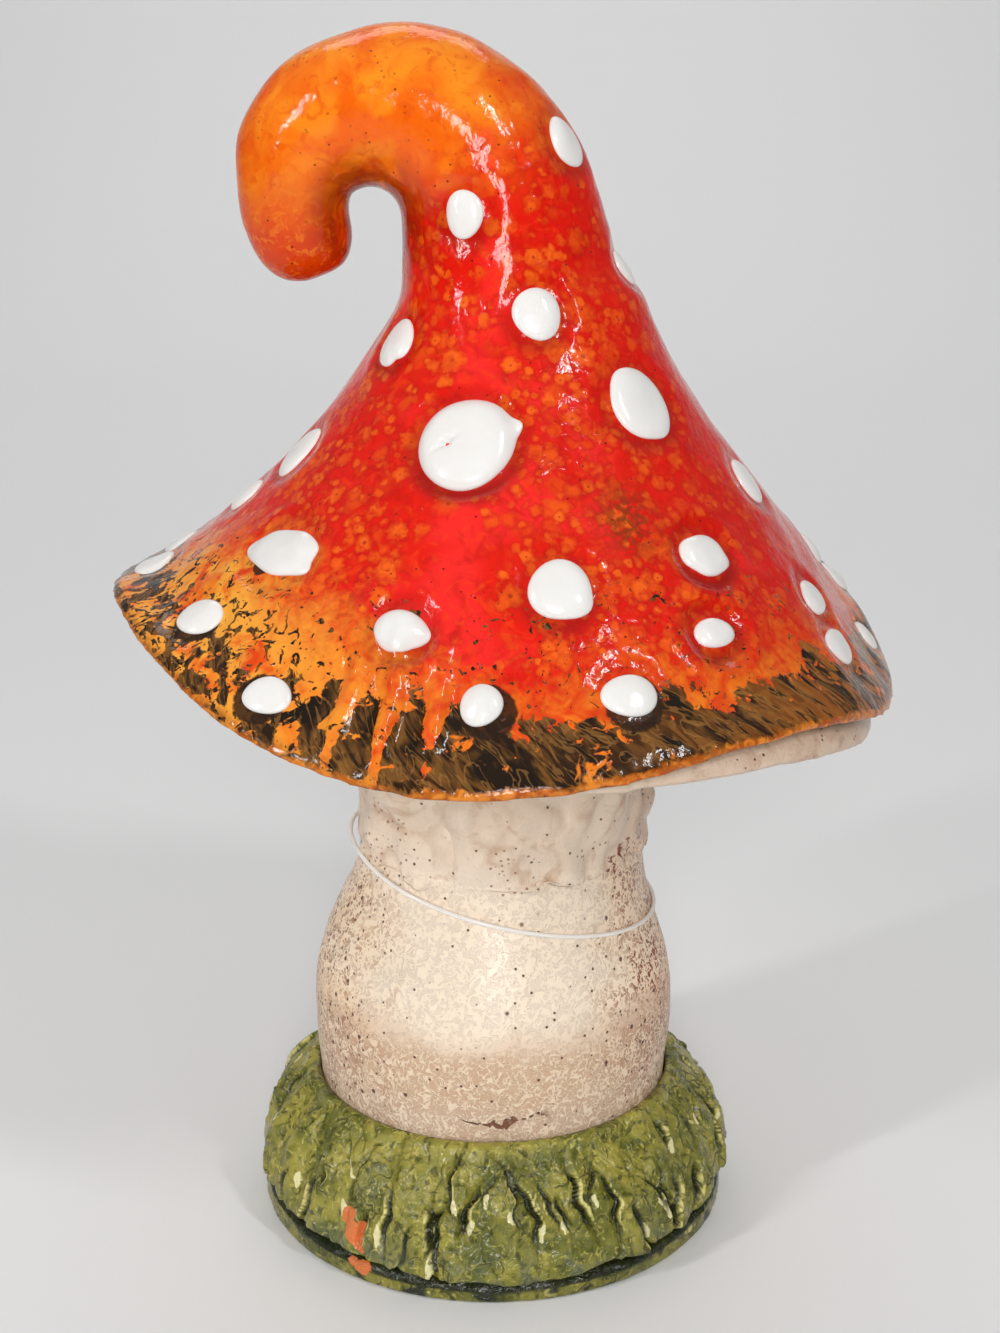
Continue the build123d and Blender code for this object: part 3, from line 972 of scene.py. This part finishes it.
def press_dot(number, name):
    middle, axis, node_mm = dot_places[name]
    out = Vector(axis)
    if out.dot(hat_tree.find_nearest(Vector(middle))[1]) < 0:
        out.negate()
    level = Vector((0, 0, 1)).cross(out).normalized()
    up_slope = out.cross(level)
    half_across = np.ptp(node_mm @ np.array(level)) / 2
    half_along = np.ptp(node_mm @ np.array(up_slope)) / 2
    rise = DOT_RISE + DOT_RISE_PER_SIZE * (half_across + half_along)
    segments = PITTED_SEGMENTS if name == PITTED_DOT else DOT_SEGMENTS
    bpy.ops.mesh.primitive_uv_sphere_add(segments=segments, ring_count=segments // 2, radius=1)
    dot = bpy.context.object
    dot.name = "white_" + name
    dot.data.name = dot.name
    for vertex in dot.data.vertices:
        x, y, z = vertex.co
        gain = outline_gain(name, OUTLINE_SEED * number, math.atan2(y, x))
        across = DOT_SPREAD * half_across * gain * x
        along = DOT_SPREAD * half_along * gain * y
        lift = rise * z**DOT_ROUND if z > 0 else -DOT_SUNK * (-z) ** DOT_ROUND
        if z > 0:
            lump_place = Vector((across / DOT_LUMP_SIZE, along / DOT_LUMP_SIZE, LUMP_SEED * number))
            lift += DOT_LUMP * noise.noise(lump_place) * z
        if name == PITTED_DOT and z > 0:
            lift -= pit_depth(across, along)
        flat = Vector(middle) + level * across + up_slope * along
        hit = hat_tree.ray_cast(flat + out * RAY_FROM, -out, RAY_LONG)[0]
        vertex.co = ((hit or flat) + out * lift) * MM
    bpy.ops.object.shade_smooth()
    return dot


# %% [markdown]
# The white is a thick opaque glaze, a touch warmer in places, with the soft waves of a poured skin.

# %% White dots: press them on
WHITE = colour(238, 237, 234)
WARM_WHITE = colour(230, 227, 222)
white = Glaze("dot_glaze")
white_tone = mix(white.cloud(9.0, 2.0), WHITE, WARM_WHITE)
white.height((white.cloud(5.0, 2.0), 0.16), (white.cloud(1.2, 1.0), 0.02))
dots = []
for number, name in enumerate(DOT_NAMES, 1):
    dot = press_dot(number, name)
    white.finish(dot, white_tone, roughness=0.16)
    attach(dot, "root")
    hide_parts(name)
    dots.append(dot)
print("dots pressed on:", len(dots))

# %% [markdown]
# ## Underside, stem and collar
# The slab closes the hat from below and shows only as a cream edge at the right. Its rim is spread there
# until it shows, tucked in elsewhere, and lifted at the back, where the brim rises.

# %% Underside: shape
RIM_Z = 156.5
BRIM_WAVES = ((1, 13.5, 140), (2, 3.0, -30), (4, 6.5, 30), (5, 2.5, -32))
SLAB_VOXEL, SLAB_ROUNDS = 1.1, 14
SLAB_DENTS = (0.35, 18.0, 0.0)
SLAB_SHOWN, SLAB_BACK = (-52.0, 34.0), (38.0, 32.0)
SLAB_SPREAD, SLAB_TUCK = 3.4, 3.0
SPREAD_REACH, SPREAD_DROP = (82.0, 91.0), (0.2, 1.6)
SLAB_LIFT, LIFT_REACH, LIFT_DROP = 1.8, (78.0, 88.0), (-2.5, -0.5)
BACK_LIFT, BACK_REACH = 4.5, (70.0, 90.0)
SLAB_SOFT, SLAB_SOFT_ROUNDS = 80.0, 60


def brim_height(x, y):
    reach, bearing = np.hypot(x - HAT_X, y) / RIM_R, np.arctan2(y, x - HAT_X)
    height = RIM_Z + 0 * reach
    for count, rise, crest in BRIM_WAVES:
        height = height + rise * reach**count * np.cos(count * (bearing - math.radians(crest)))
    return height


underside = clay_copy("cap_underside", "hat_underside", SLAB_VOXEL, SLAB_ROUNDS)
under_mm, under_normals = points_of(underside)
under_reach, under_bearing, under_out = around(under_mm, HAT_X)
under_drop = brim_height(under_mm[:, 0], under_mm[:, 1]) - under_mm[:, 2]
spread = (SLAB_SPREAD + SLAB_TUCK) * facing(under_bearing, *SLAB_SHOWN) - SLAB_TUCK
spread *= fade(under_reach, *SPREAD_REACH) * fade(under_drop, *SPREAD_DROP)
under_mm += under_normals * dents(under_mm, SLAB_DENTS)[:, None]
under_mm[:, :2] += under_out * spread[:, None]
under_mm[:, 2] += SLAB_LIFT * fade(under_reach, *LIFT_REACH) * fade(-under_drop, *LIFT_DROP)
under_mm[:, 2] += BACK_LIFT * facing(under_bearing, *SLAB_BACK) * fade(under_reach, *BACK_REACH)
set_points(underside, under_mm)
soften(underside, under_reach > SLAB_SOFT, SLAB_SOFT_ROUNDS)

# %% [markdown]
# The stem is thrown and slightly bellied, so it gets only soft dents. Its neck leans a little to the
# right.

# %% Stem: shape
STEM_VOXEL, STEM_ROUNDS = 1.1, 3
STEM_DENTS = ((0.55, 26.0, 1.0), (0.14, 6.0, 4.0))
NECK_LEAN = 2.2
LEAN_FROM = 76.0
COLLAR_FOOT_Z = 101.0
stem = clay_copy("stem", "stem_body", STEM_VOXEL, STEM_ROUNDS)
stem_mm, stem_normals = points_of(stem)
stem_places = stem_mm + stem_normals * dents(stem_mm, *STEM_DENTS)[:, None]
stem_places[:, 0] += NECK_LEAN * fade(stem_mm[:, 2], LEAN_FROM, COLLAR_FOOT_Z)
set_points(stem, stem_places)

# %% [markdown]
# The collar was pressed around the joint with the thumbs. It gets deep lumps, creases where a noise
# crosses zero, swaying thumb marks and a lumpy lower edge.

# %% Collar: shape
COLLAR_VOXEL, COLLAR_ROUNDS = 1.0, 3
COLLAR_DENTS = ((2.1, 12.0, 2.0), (1.1, 6.0, 6.0))
CREASE_SIZE, CREASE_SEED, CREASE_WIDTH, CREASE_IN = 13.0, 8.0, 0.10, 0.6
CREASE_SQUEEZE = np.array([1, 1, 1.5])
THUMB_MARKS = ((-74, -1.6), (-60, 1.0), (-112, -1.2), (-126, 1.0), (60, -1.6), (130, 1.2))
THUMB_SWAY, THUMB_WAVE, THUMB_WIDTH, THUMB_HIGH = 5.0, 6, 7.0, 0.3
LOW_RISE = 16
FRONT_TURN, FRONT_IN, FRONT_DROP = 95, 0.9, 3.0
DROP_DENTS = (0.8, 12.0, 7.0)
collar = clay_copy("neck_collar", "collar", COLLAR_VOXEL, COLLAR_ROUNDS)
collar_mm, collar_normals = points_of(collar)
_, collar_bearing, _ = around(collar_mm)
collar_low = fade(-collar_mm[:, 2], -COLLAR_FOOT_Z - LOW_RISE, -COLLAR_FOOT_Z)
collar_crease = bell(lumps(collar_mm * CREASE_SQUEEZE, CREASE_SIZE, CREASE_SEED), 0, CREASE_WIDTH)
collar_push = dents(collar_mm, *COLLAR_DENTS) - CREASE_IN * collar_crease
for middle, depth in THUMB_MARKS:
    sway = THUMB_SWAY * np.sin(collar_mm[:, 2] / THUMB_WAVE + middle)
    thumb = bell(turn_between(collar_bearing, middle) + sway, 0, THUMB_WIDTH)
    collar_push += depth * thumb * (THUMB_HIGH + (1 - THUMB_HIGH) * collar_low)
collar_front = 0.5 + 0.5 * np.cos(np.radians(collar_bearing + FRONT_TURN))
collar_push -= FRONT_IN * collar_low * collar_front
collar_places = collar_mm + collar_normals * collar_push[:, None]
collar_places[:, 2] -= FRONT_DROP * collar_low * collar_front * (1 + dents(collar_mm, DROP_DENTS))
collar_places[:, 0] += NECK_LEAN
set_points(collar, collar_places)
write(collar, {"crease": collar_crease})

# %% [markdown]
# ## Cream glaze
# All three wear one satin, milky cream over buff clay. Tan shows through on the flanks and low down, and
# rust in the collar's creases, where the brown is partly painted shade. High on the collar, under the hat,
# a darker buff is painted shade. These go by the place on the object, in metres, with blotchy borders.

# %% Cream glaze: tones
MILK, WARM_MILK = colour(244, 228, 210), colour(228, 210, 188)
LEFT_TAN, RIGHT_TAN = colour(255, 210, 156), colour(238, 176, 120)
UNDER_HAT_SHADE, LOW_TAN, FOOT_GREY = colour(206, 182, 156), colour(204, 166, 130), colour(206, 182, 164)
RUST, CREASE_RUST_AND_SHADE = colour(176, 132, 92), colour(168, 126, 90)
cream = Glaze("cream_glaze")
place = cream.node("ShaderNodeSeparateXYZ", {"Vector": cream.place})
height = place.outputs["Z"]
side = calc(add(place.outputs["X"], -1.0 * MM), "ABSOLUTE")
blotch = cream.cloud(16.0, 4.0, 0.6)
on_stem = step(height, 0.104, 0.096)
flank = step(add(side, swing(blotch, 0.030)), 0.020, 0.046)
flank = share(flank, add(share(on_stem, 0.8), 0.2))
low = step(add(height, swing(blotch, 0.012)), 0.070, 0.056)
foot = step(add(height, swing(blotch, 0.010)), 0.050, 0.040)
# painted shade high on the collar, under the hat, broken into blotches
high = share(step(height, 0.096, 0.112), add(share(blotch, 0.9), 0.1))
right_flank = step(place.outputs["X"], 0.018, 0.040)
milk = coats(
    mix(cream.cloud(11.0, 4.0, 0.6), MILK, WARM_MILK),
    (mix(right_flank, LEFT_TAN, RIGHT_TAN), flank, 0.8),
    (UNDER_HAT_SHADE, high, 0.7),
    (RUST, step(height, 0.094, 0.104), cream.patches(0.52, 0.70, 7.0, 4.0, 1.0), 0.45),
    # brown in the creases: partly rust, partly painted shade
    (CREASE_RUST_AND_SHADE, cream.mark("crease"), blotch, 0.4),
    (LOW_TAN, low, 0.85),
    (FOOT_GREY, foot, 0.4),
)
cream.tell("cream tones")

# %% [markdown]
# Where the glaze crawled it left fine raised worms on the brown body, and low down only a thin network. A
# worm is a line of equal value in a noise, which has no blunt end. Pinholes are thickest on the flanks.

# %% Cream glaze: worms and pinholes
BODY_BROWN = colour(132, 58, 20)
WORM_CREAM = colour(252, 234, 208)
HOLE_BROWN = colour(92, 40, 16)
worm = thread(cream.cloud(2.4, 1.0, 0.7), 0.085)
worm = most(worm, thread(cream.cloud(1.9, 1.0, 0.9), 0.075))
worm = share(worm, rest(share(low, 0.9)))
fine_worm = thread(cream.cloud(2.6, 1.0, 1.0), 0.05)
fine_worm = most(fine_worm, thread(cream.cloud(2.0, 1.0, 0.8), 0.05))
worm = most(worm, share(fine_worm, low))
worm = share(worm, add(share(on_stem, 0.85), 0.15))
patchy = cream.patches(0.32, 0.62, 7.0, 3.0, 0.8)
flank_brown = share(flank, add(share(patchy, 0.8), share(right_flank, 0.4), 0.15))
flank_brown = share(flank_brown, rest(share(low, 0.55)))
brown = add(flank_brown, share(low, patchy, 0.10), 0.05)
hole = cream.specks(1.9, 0.42, add(share(flank, -0.68), 0.84))
hole = most(hole, cream.specks(3.6, 0.70, add(share(flank, -0.80), 0.95)))
milk = coats(
    milk, (BODY_BROWN, rest(worm), brown), (WORM_CREAM, worm, 0.55), (HOLE_BROWN, hole, 0.92)
)
cream.tell("worms and pinholes")

# %% [markdown]
# A few marks are single: dabs of stain by the collar, sprinkles of pepper and a short crack above the
# moss. Each has its place and size in millimetres.

# %% Cream glaze: stains and cracks
STAINS = ((31.0, -24.0, 100.5, 3.2), (34.0, -20.0, 102.5, 3.4), (37.0, -13.0, 106.0, 2.6))
PEPPER = (
    (-28.0, -24.0, 107.0, 12.0),
    (4.0, -36.0, 104.0, 8.0),
    (24.0, -28.0, 108.0, 6.0),
    (34.0, -14.0, 96.0, 9.0),
)
STAIN_RAGGED, PEPPER_RAGGED = 5.0, 6.0
STAIN_BROWN, PEPPER_BROWN, CRACK_BROWN = colour(122, 40, 18), colour(138, 70, 40), colour(110, 54, 20)
CRACK_Z = 41.5
CRACK_FROM, CRACK_TO, CRACK_FADE = -9.0, 15.0, 3
for x, y, z, size in STAINS:
    dab = share(cream.near((x, y, z), size, STAIN_RAGGED), cream.patches(0.50, 0.58, 2.0, 2.0, 1.2))
    milk = coats(milk, (STAIN_BROWN, dab, 0.9))
pepper = cream.specks(1.5, 0.46, 0.35)
for x, y, z, size in PEPPER:
    milk = coats(milk, (PEPPER_BROWN, cream.near((x, y, z), size, PEPPER_RAGGED), pepper, 0.75))
crack = add(height, swing(cream.cloud(9.0, 3.0, 0.5), 0.012), -CRACK_Z * MM)
crack = share(
    step(calc(crack, "ABSOLUTE"), 0.0007, 0.0003),
    step(place.outputs["X"], CRACK_FROM * MM, (CRACK_FROM + CRACK_FADE) * MM),
    step(place.outputs["X"], CRACK_TO * MM, (CRACK_TO - CRACK_FADE) * MM),
    step(place.outputs["Y"], 0.0, -0.01),
    cream.patches(0.42, 0.48, 4.0, 2.0),
)
milk = coats(milk, (CRACK_BROWN, crack, 0.9))
cream.height((worm, 0.11), (cream.cloud(6.0, 3.0), 0.25), (hole, -0.25), (crack, -0.5))
for piece, node in ((stem, "stem"), (collar, "neck_collar"), (underside, "cap_underside")):
    cream.finish(piece, milk, roughness=0.34)
    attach(piece, "root")
    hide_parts(node)
cream.tell("stem, collar and underside")

# %% [markdown]
# ## Moss and foot
# The foot is a disc with a thick cushion of clay pulled up around the stem. As it was pulled it tore: each
# tear is a ledge down the slope, raised on one side and sunk on the other, so that the skin between two
# tears reads as a flake. A bump could not give that edge its shadow.

# %% Moss: tears between the flakes
MOSS_VOXEL, MOSS_ROUNDS = 0.72, 2
MOSS_DENTS = ((0.6, 13.0, 3.0), (0.25, 3.2, 9.0))
MOSS_MIDDLE_R = 54.0
MOSS_OUTER = (46.4, 48.0)
TEARS, TEAR_SHIFT, TEAR_SEED = 84, 0.4, 11
TEAR_Z, TEAR_HALF_LONG, TEAR_DEPTH = (15.0, 30.0), (3.5, 10.5), (0.8, 2.5)
TEAR_LEAN = 0.45
TEAR_RAISED, TEAR_SUNK, FULL_DEPTH = 0.75, 1.25, 1.5
TEAR_WOBBLES = ((0.9, 2.4, 1), (0.4, 0.9, 2))
RAISED_FALL, RAISED_EDGE = 2.4, 0.35
SUNK_LINE, CREVICE_LINE, CREST_LINE = (-0.5, 0.75), (-0.45, 0.6), (0.45, 0.5)
CHIP_CHANCE = 0.5
CHIP_LINE, CHIP_DOWN, CHIP_HEIGHT = (0.7, 0.8), 0.45, 1.9
moss = clay_copy("moss_mound", "moss", MOSS_VOXEL, MOSS_ROUNDS)
moss_mm, moss_normals = points_of(moss)
moss_reach, moss_bearing, moss_out = around(moss_mm)
moss_outer = fade(moss_reach, *MOSS_OUTER)
moss_push = dents(moss_mm, *MOSS_DENTS)
crevice, crest, chips = (np.zeros(len(moss_mm)) for _ in range(3))
draws = np.random.default_rng(TEAR_SEED)


def down_slope(bearing, middle_z, half_long, lean):
    rise = moss_mm[:, 2] - middle_z
    across = np.radians(turn_between(moss_bearing, bearing)) * MOSS_MIDDLE_R - lean * rise
    return rise, across, np.clip(1 - (rise / half_long) ** 2, 0, 1)


for k in range(TEARS):
    bearing = 360 * (k + draws.uniform(-TEAR_SHIFT, TEAR_SHIFT)) / TEARS
    tear_z = draws.uniform(*TEAR_Z)
    half_long = draws.uniform(*TEAR_HALF_LONG)
    lean = draws.uniform(-TEAR_LEAN, TEAR_LEAN)
    depth = draws.uniform(*TEAR_DEPTH)
    hand = draws.choice((-1.0, 1.0))
    chipped = draws.uniform() < CHIP_CHANCE
    rise, across, along = down_slope(bearing, tear_z, half_long, lean)
    wobble = sum(size * np.sin(rise / long + turn * k) for size, long, turn in TEAR_WOBBLES)
    apart = hand * (across - wobble)
    raised = np.exp(-np.maximum(apart, 0) / RAISED_FALL) * fade(apart, -RAISED_EDGE, RAISED_EDGE) * along
    sunk = bell(apart, *SUNK_LINE) * along
    moss_push += depth * (TEAR_RAISED * raised - TEAR_SUNK * sunk)
    strength = min(depth / FULL_DEPTH, 1)
    # dark in the glaze later: pooled glaze, and painted shade in the tear
    crevice = np.maximum(crevice, bell(apart, *CREVICE_LINE) * along * strength)
    crest = np.maximum(crest, bell(apart, *CREST_LINE) * along * strength)
    if chipped:
        chip = bell(apart, *CHIP_LINE) * bell(rise, -CHIP_DOWN * half_long, CHIP_HEIGHT)
        chips = np.maximum(chips, chip)
print("tears made:", TEARS)

# %% [markdown]
# Between the tears the skin is crinkled all over by short shallow creases, and a bead of clay is rolled
# against the stem.

# %% Moss: crinkles and bead
CRINKLES = 190
CRINKLE_Z, CRINKLE_HALF_LONG = (12.0, 35.0), (1.5, 4.0)
CRINKLE_LEAN, CRINKLE_SWAY = 1.2, 0.5
RIDGE, RIDGE_LINE = 0.45, (0.9, 0.7)
GROOVE, GROOVE_LINE, SHADE_LINE = 0.55, (0, 0.5), (0, 0.45)
MOSS_TOP_Z = 36.5
BEAD_HEIGHT, BEAD_DENTS = 0.8, (1.0, 5.0, 12.0)
BEAD_BELOW, BEAD_WIDTH, BEAD_REACH = 1.0, 1.6, (51.0, 48.5)
for k in range(CRINKLES):
    bearing = draws.uniform(0, 360)
    crinkle_z = draws.uniform(*CRINKLE_Z)
    half_long = draws.uniform(*CRINKLE_HALF_LONG)
    lean = draws.uniform(-CRINKLE_LEAN, CRINKLE_LEAN)
    rise, across, along = down_slope(bearing, crinkle_z, half_long, lean)
    across = across - CRINKLE_SWAY * np.sin(rise + k)
    moss_push += along * (RIDGE * bell(across, *RIDGE_LINE) - GROOVE * bell(across, *GROOVE_LINE))
    # the groove is painted dark as shade
    crevice = np.maximum(crevice, GROOVE * bell(across, *SHADE_LINE) * along)
bead = bell(moss_mm[:, 2], MOSS_TOP_Z - BEAD_BELOW, BEAD_WIDTH) * fade(moss_reach, *BEAD_REACH)
moss_push += (BEAD_HEIGHT + dents(moss_mm, BEAD_DENTS)) * bead
print("crinkles made:", CRINKLES)

# %% [markdown]
# The cushion's lower lip droops over the disc, most of all in front, and stands out from it a little.

# %% Moss: drooping lip
MOSS_LIP_Z = 12.5
DROOP, DROOP_BACK, DROOP_DENTS = 5.6, 0.3, (0.3, 15.0, 6.0)
LIP_OUT = 2.4
LIP_TOP_Z, LIP_REACH = 19.0, (55.0, 59.5)
FRONT = (-88.0, 58.0)
front_share = facing(moss_bearing, *FRONT)
lip = fade(-moss_mm[:, 2], -LIP_TOP_Z, -MOSS_LIP_Z) * fade(moss_reach, *LIP_REACH)
droop = lip * (DROOP_BACK + (1 - DROOP_BACK) * front_share)
moss_places = moss_mm + moss_normals * (moss_push * moss_outer)[:, None]
moss_places[:, 2] -= DROOP * droop * (1 + dents(moss_mm, DROOP_DENTS))
moss_places[:, :2] += moss_out * (LIP_OUT * droop)[:, None]
set_points(moss, moss_places)
torn_marks = {"crevice": crevice, "crest": crest, "chips": chips}
write(moss, {name: values * moss_outer for name, values in torn_marks.items()})
write(moss, {"lip": lip * front_share})

# %% [markdown]
# The disc is rough and set back where the lip hangs over it, which leaves a dark gap, and the gap is
# painted dark as shade too. The whole disc is painted darker as shade, with darker random blotches. It
# wears the same glaze, so it carries the same marks.

# %% Foot disc
DISC_VOXEL, DISC_ROUNDS = 0.9, 3
DISC_DENTS, DISC_INSET = ((0.5, 9.0, 1.0), (0.3, 3.5, 2.0)), 0.3
DISC_SIDE, DISC_LIFT = (54.0, 58.0), (0.2, 1.6)
GAP_LOW_Z, GAP_HIGH_Z, GAP_DEPTH = 3.0, 6.5, 1.9
GAP_BELOW, GAP_ABOVE = 0.8, 1.0
DISC_SHADE_BASE, STAIN_GAIN = 0.33, 0.40
BACK_LOW, BACK_HIGH = 3.0, 2.0
disc = clay_copy("base_disc", "foot_disc", DISC_VOXEL, DISC_ROUNDS)
disc_mm, disc_normals = points_of(disc)
disc_reach, disc_bearing, _ = around(disc_mm)
disc_side = fade(disc_reach, *DISC_SIDE) * fade(disc_mm[:, 2], *DISC_LIFT)
disc_back = 1 - facing(disc_bearing, *FRONT)
gap_low = GAP_LOW_Z + BACK_LOW * disc_back
disc_push = dents(disc_mm, *DISC_DENTS) - DISC_INSET
disc_push -= GAP_DEPTH * fade(disc_mm[:, 2], gap_low, GAP_HIGH_Z + BACK_HIGH * disc_back)
set_points(disc, disc_mm + disc_normals * (disc_push * disc_side)[:, None])
gap_shade = fade(disc_mm[:, 2], gap_low - GAP_BELOW, gap_low + GAP_ABOVE)
# painted shade over the whole disc, with darker random blotches
shade_and_stain = DISC_SHADE_BASE + STAIN_GAIN * fade(lumps(disc_mm, 5.0, 3.0), 0.30, 0.55)
disc_crest = fade(lumps(disc_mm, 4.0, 4.0), 0.35, 0.6)
none = np.zeros(len(disc_mm))
write(disc, {"crevice": np.maximum(gap_shade, shade_and_stain), "crest": disc_crest, "chips": none, "lip": none})

# %% [markdown]
# ## Moss glaze
# The green is a glossy olive, mottled by shade and a pale film, and yellow on raised edges, partly where
# it thins and partly as a painted highlight.
# Short slits are drawn by a warped crack pattern, which is finer than the mesh could hold.

# %% Moss glaze: ground and slits
OLIVE, LIGHT_OLIVE = colour(94, 98, 34), colour(156, 148, 62)
SHADE_GREEN, FILM_GREEN = colour(60, 62, 16), colour(194, 182, 90)
CREST_HIGHLIGHT_YELLOW = colour(222, 212, 130)
SLIT_EDGE_GREEN, SLIT_GREEN = colour(182, 174, 92), colour(40, 48, 18)
green = Glaze("moss_glaze")
tear = green.cracks(9.0, green.warped(5.0, 4.0))
torn_here = green.patches(0.53, 0.62, 9.0, 2.0, 0.4)
slit = share(step(tear, 0.045, 0.015), torn_here)
slit_edge = share(step(tear, 0.10, 0.06), torn_here)
olive = coats(
    mix(green.patches(0.34, 0.66, 12.0, 4.0, 0.8), OLIVE, LIGHT_OLIVE),
    (SHADE_GREEN, green.patches(0.48, 0.68, 4.0, 3.0, 1.6), 0.85),
    (FILM_GREEN, green.patches(0.56, 0.70, 2.6, 2.0, 2.0), 0.65),
    # yellow on raised edges, partly thin glaze and partly painted highlight
    (CREST_HIGHLIGHT_YELLOW, step(green.mark("crest"), 0.52, 0.86), green.patches(0.36, 0.48, 4.0, 2.0), 0.9),
    (SLIT_EDGE_GREEN, slit_edge, 0.35),
    (SLIT_GREEN, slit, 0.7),
)
green.tell("green ground")

# %% [markdown]
# The glaze pools dark in the tears, where the dark is also painted shade, as in the crinkle grooves, the
# gap under the lip and over the disc. Some flakes lost a pale chip. A grey painted sheen lies along the
# lip in front, and at the left the clay shows orange where larger chips came off.

# %% Moss glaze: pools, painted shade, painted sheen, chips and shine
CHIPS = (
    (-35.4, -48.4, 16.8, 2.7),
    (-33.8, -50.2, 13.8, 3.3),
    (-32.2, -51.4, 11.2, 2.6),
    (-35.6, -50.8, 5.8, 2.3),
    (-33.0, -52.6, 4.6, 2.9),
)
CHIP_RAGGED = 1.6
CHIP_PALE, CHIP_ORANGE = colour(232, 224, 170), colour(216, 118, 62)
POOL_AND_SHADE_GREEN, LIP_SHEEN_GREY = colour(22, 30, 14), colour(98, 108, 90)
flaked = step(add(green.mark("chips"), swing(green.cloud(1.6, 2.0), 0.9)), 0.46, 0.56)
olive = coats(
    olive,
    (CHIP_PALE, flaked, 0.9),
    # pooled glaze in the tears, and painted shade in tears, grooves, gap and over the disc
    (POOL_AND_SHADE_GREEN, step(green.mark("crevice"), 0.20, 0.66), 0.94),
    # painted sheen along the front of the lip
    (LIP_SHEEN_GREY, green.mark("lip"), green.patches(0.46, 0.60, 8.0, 3.0, 0.6), 0.6),
    *[(CHIP_ORANGE, green.near((x, y, z), size, CHIP_RAGGED)) for x, y, z, size in CHIPS],
)
crinkle = green.cloud(3.2, 3.0, 1.4)
grain = green.cloud(1.3, 2.0, 1.5)
green.height((crinkle, 0.7), (grain, 0.14), (slit, -0.4), (slit_edge, 0.2))
for piece, node in ((moss, "moss_mound"), (disc, "base_disc")):
    green.finish(piece, olive, roughness=0.17, shine=0.45)
    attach(piece, "root")
    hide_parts(node)
green.tell("moss and foot")

# %% Hat rides too
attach(hat, "root")
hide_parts("cap_shell")
print("hat set on the root body")
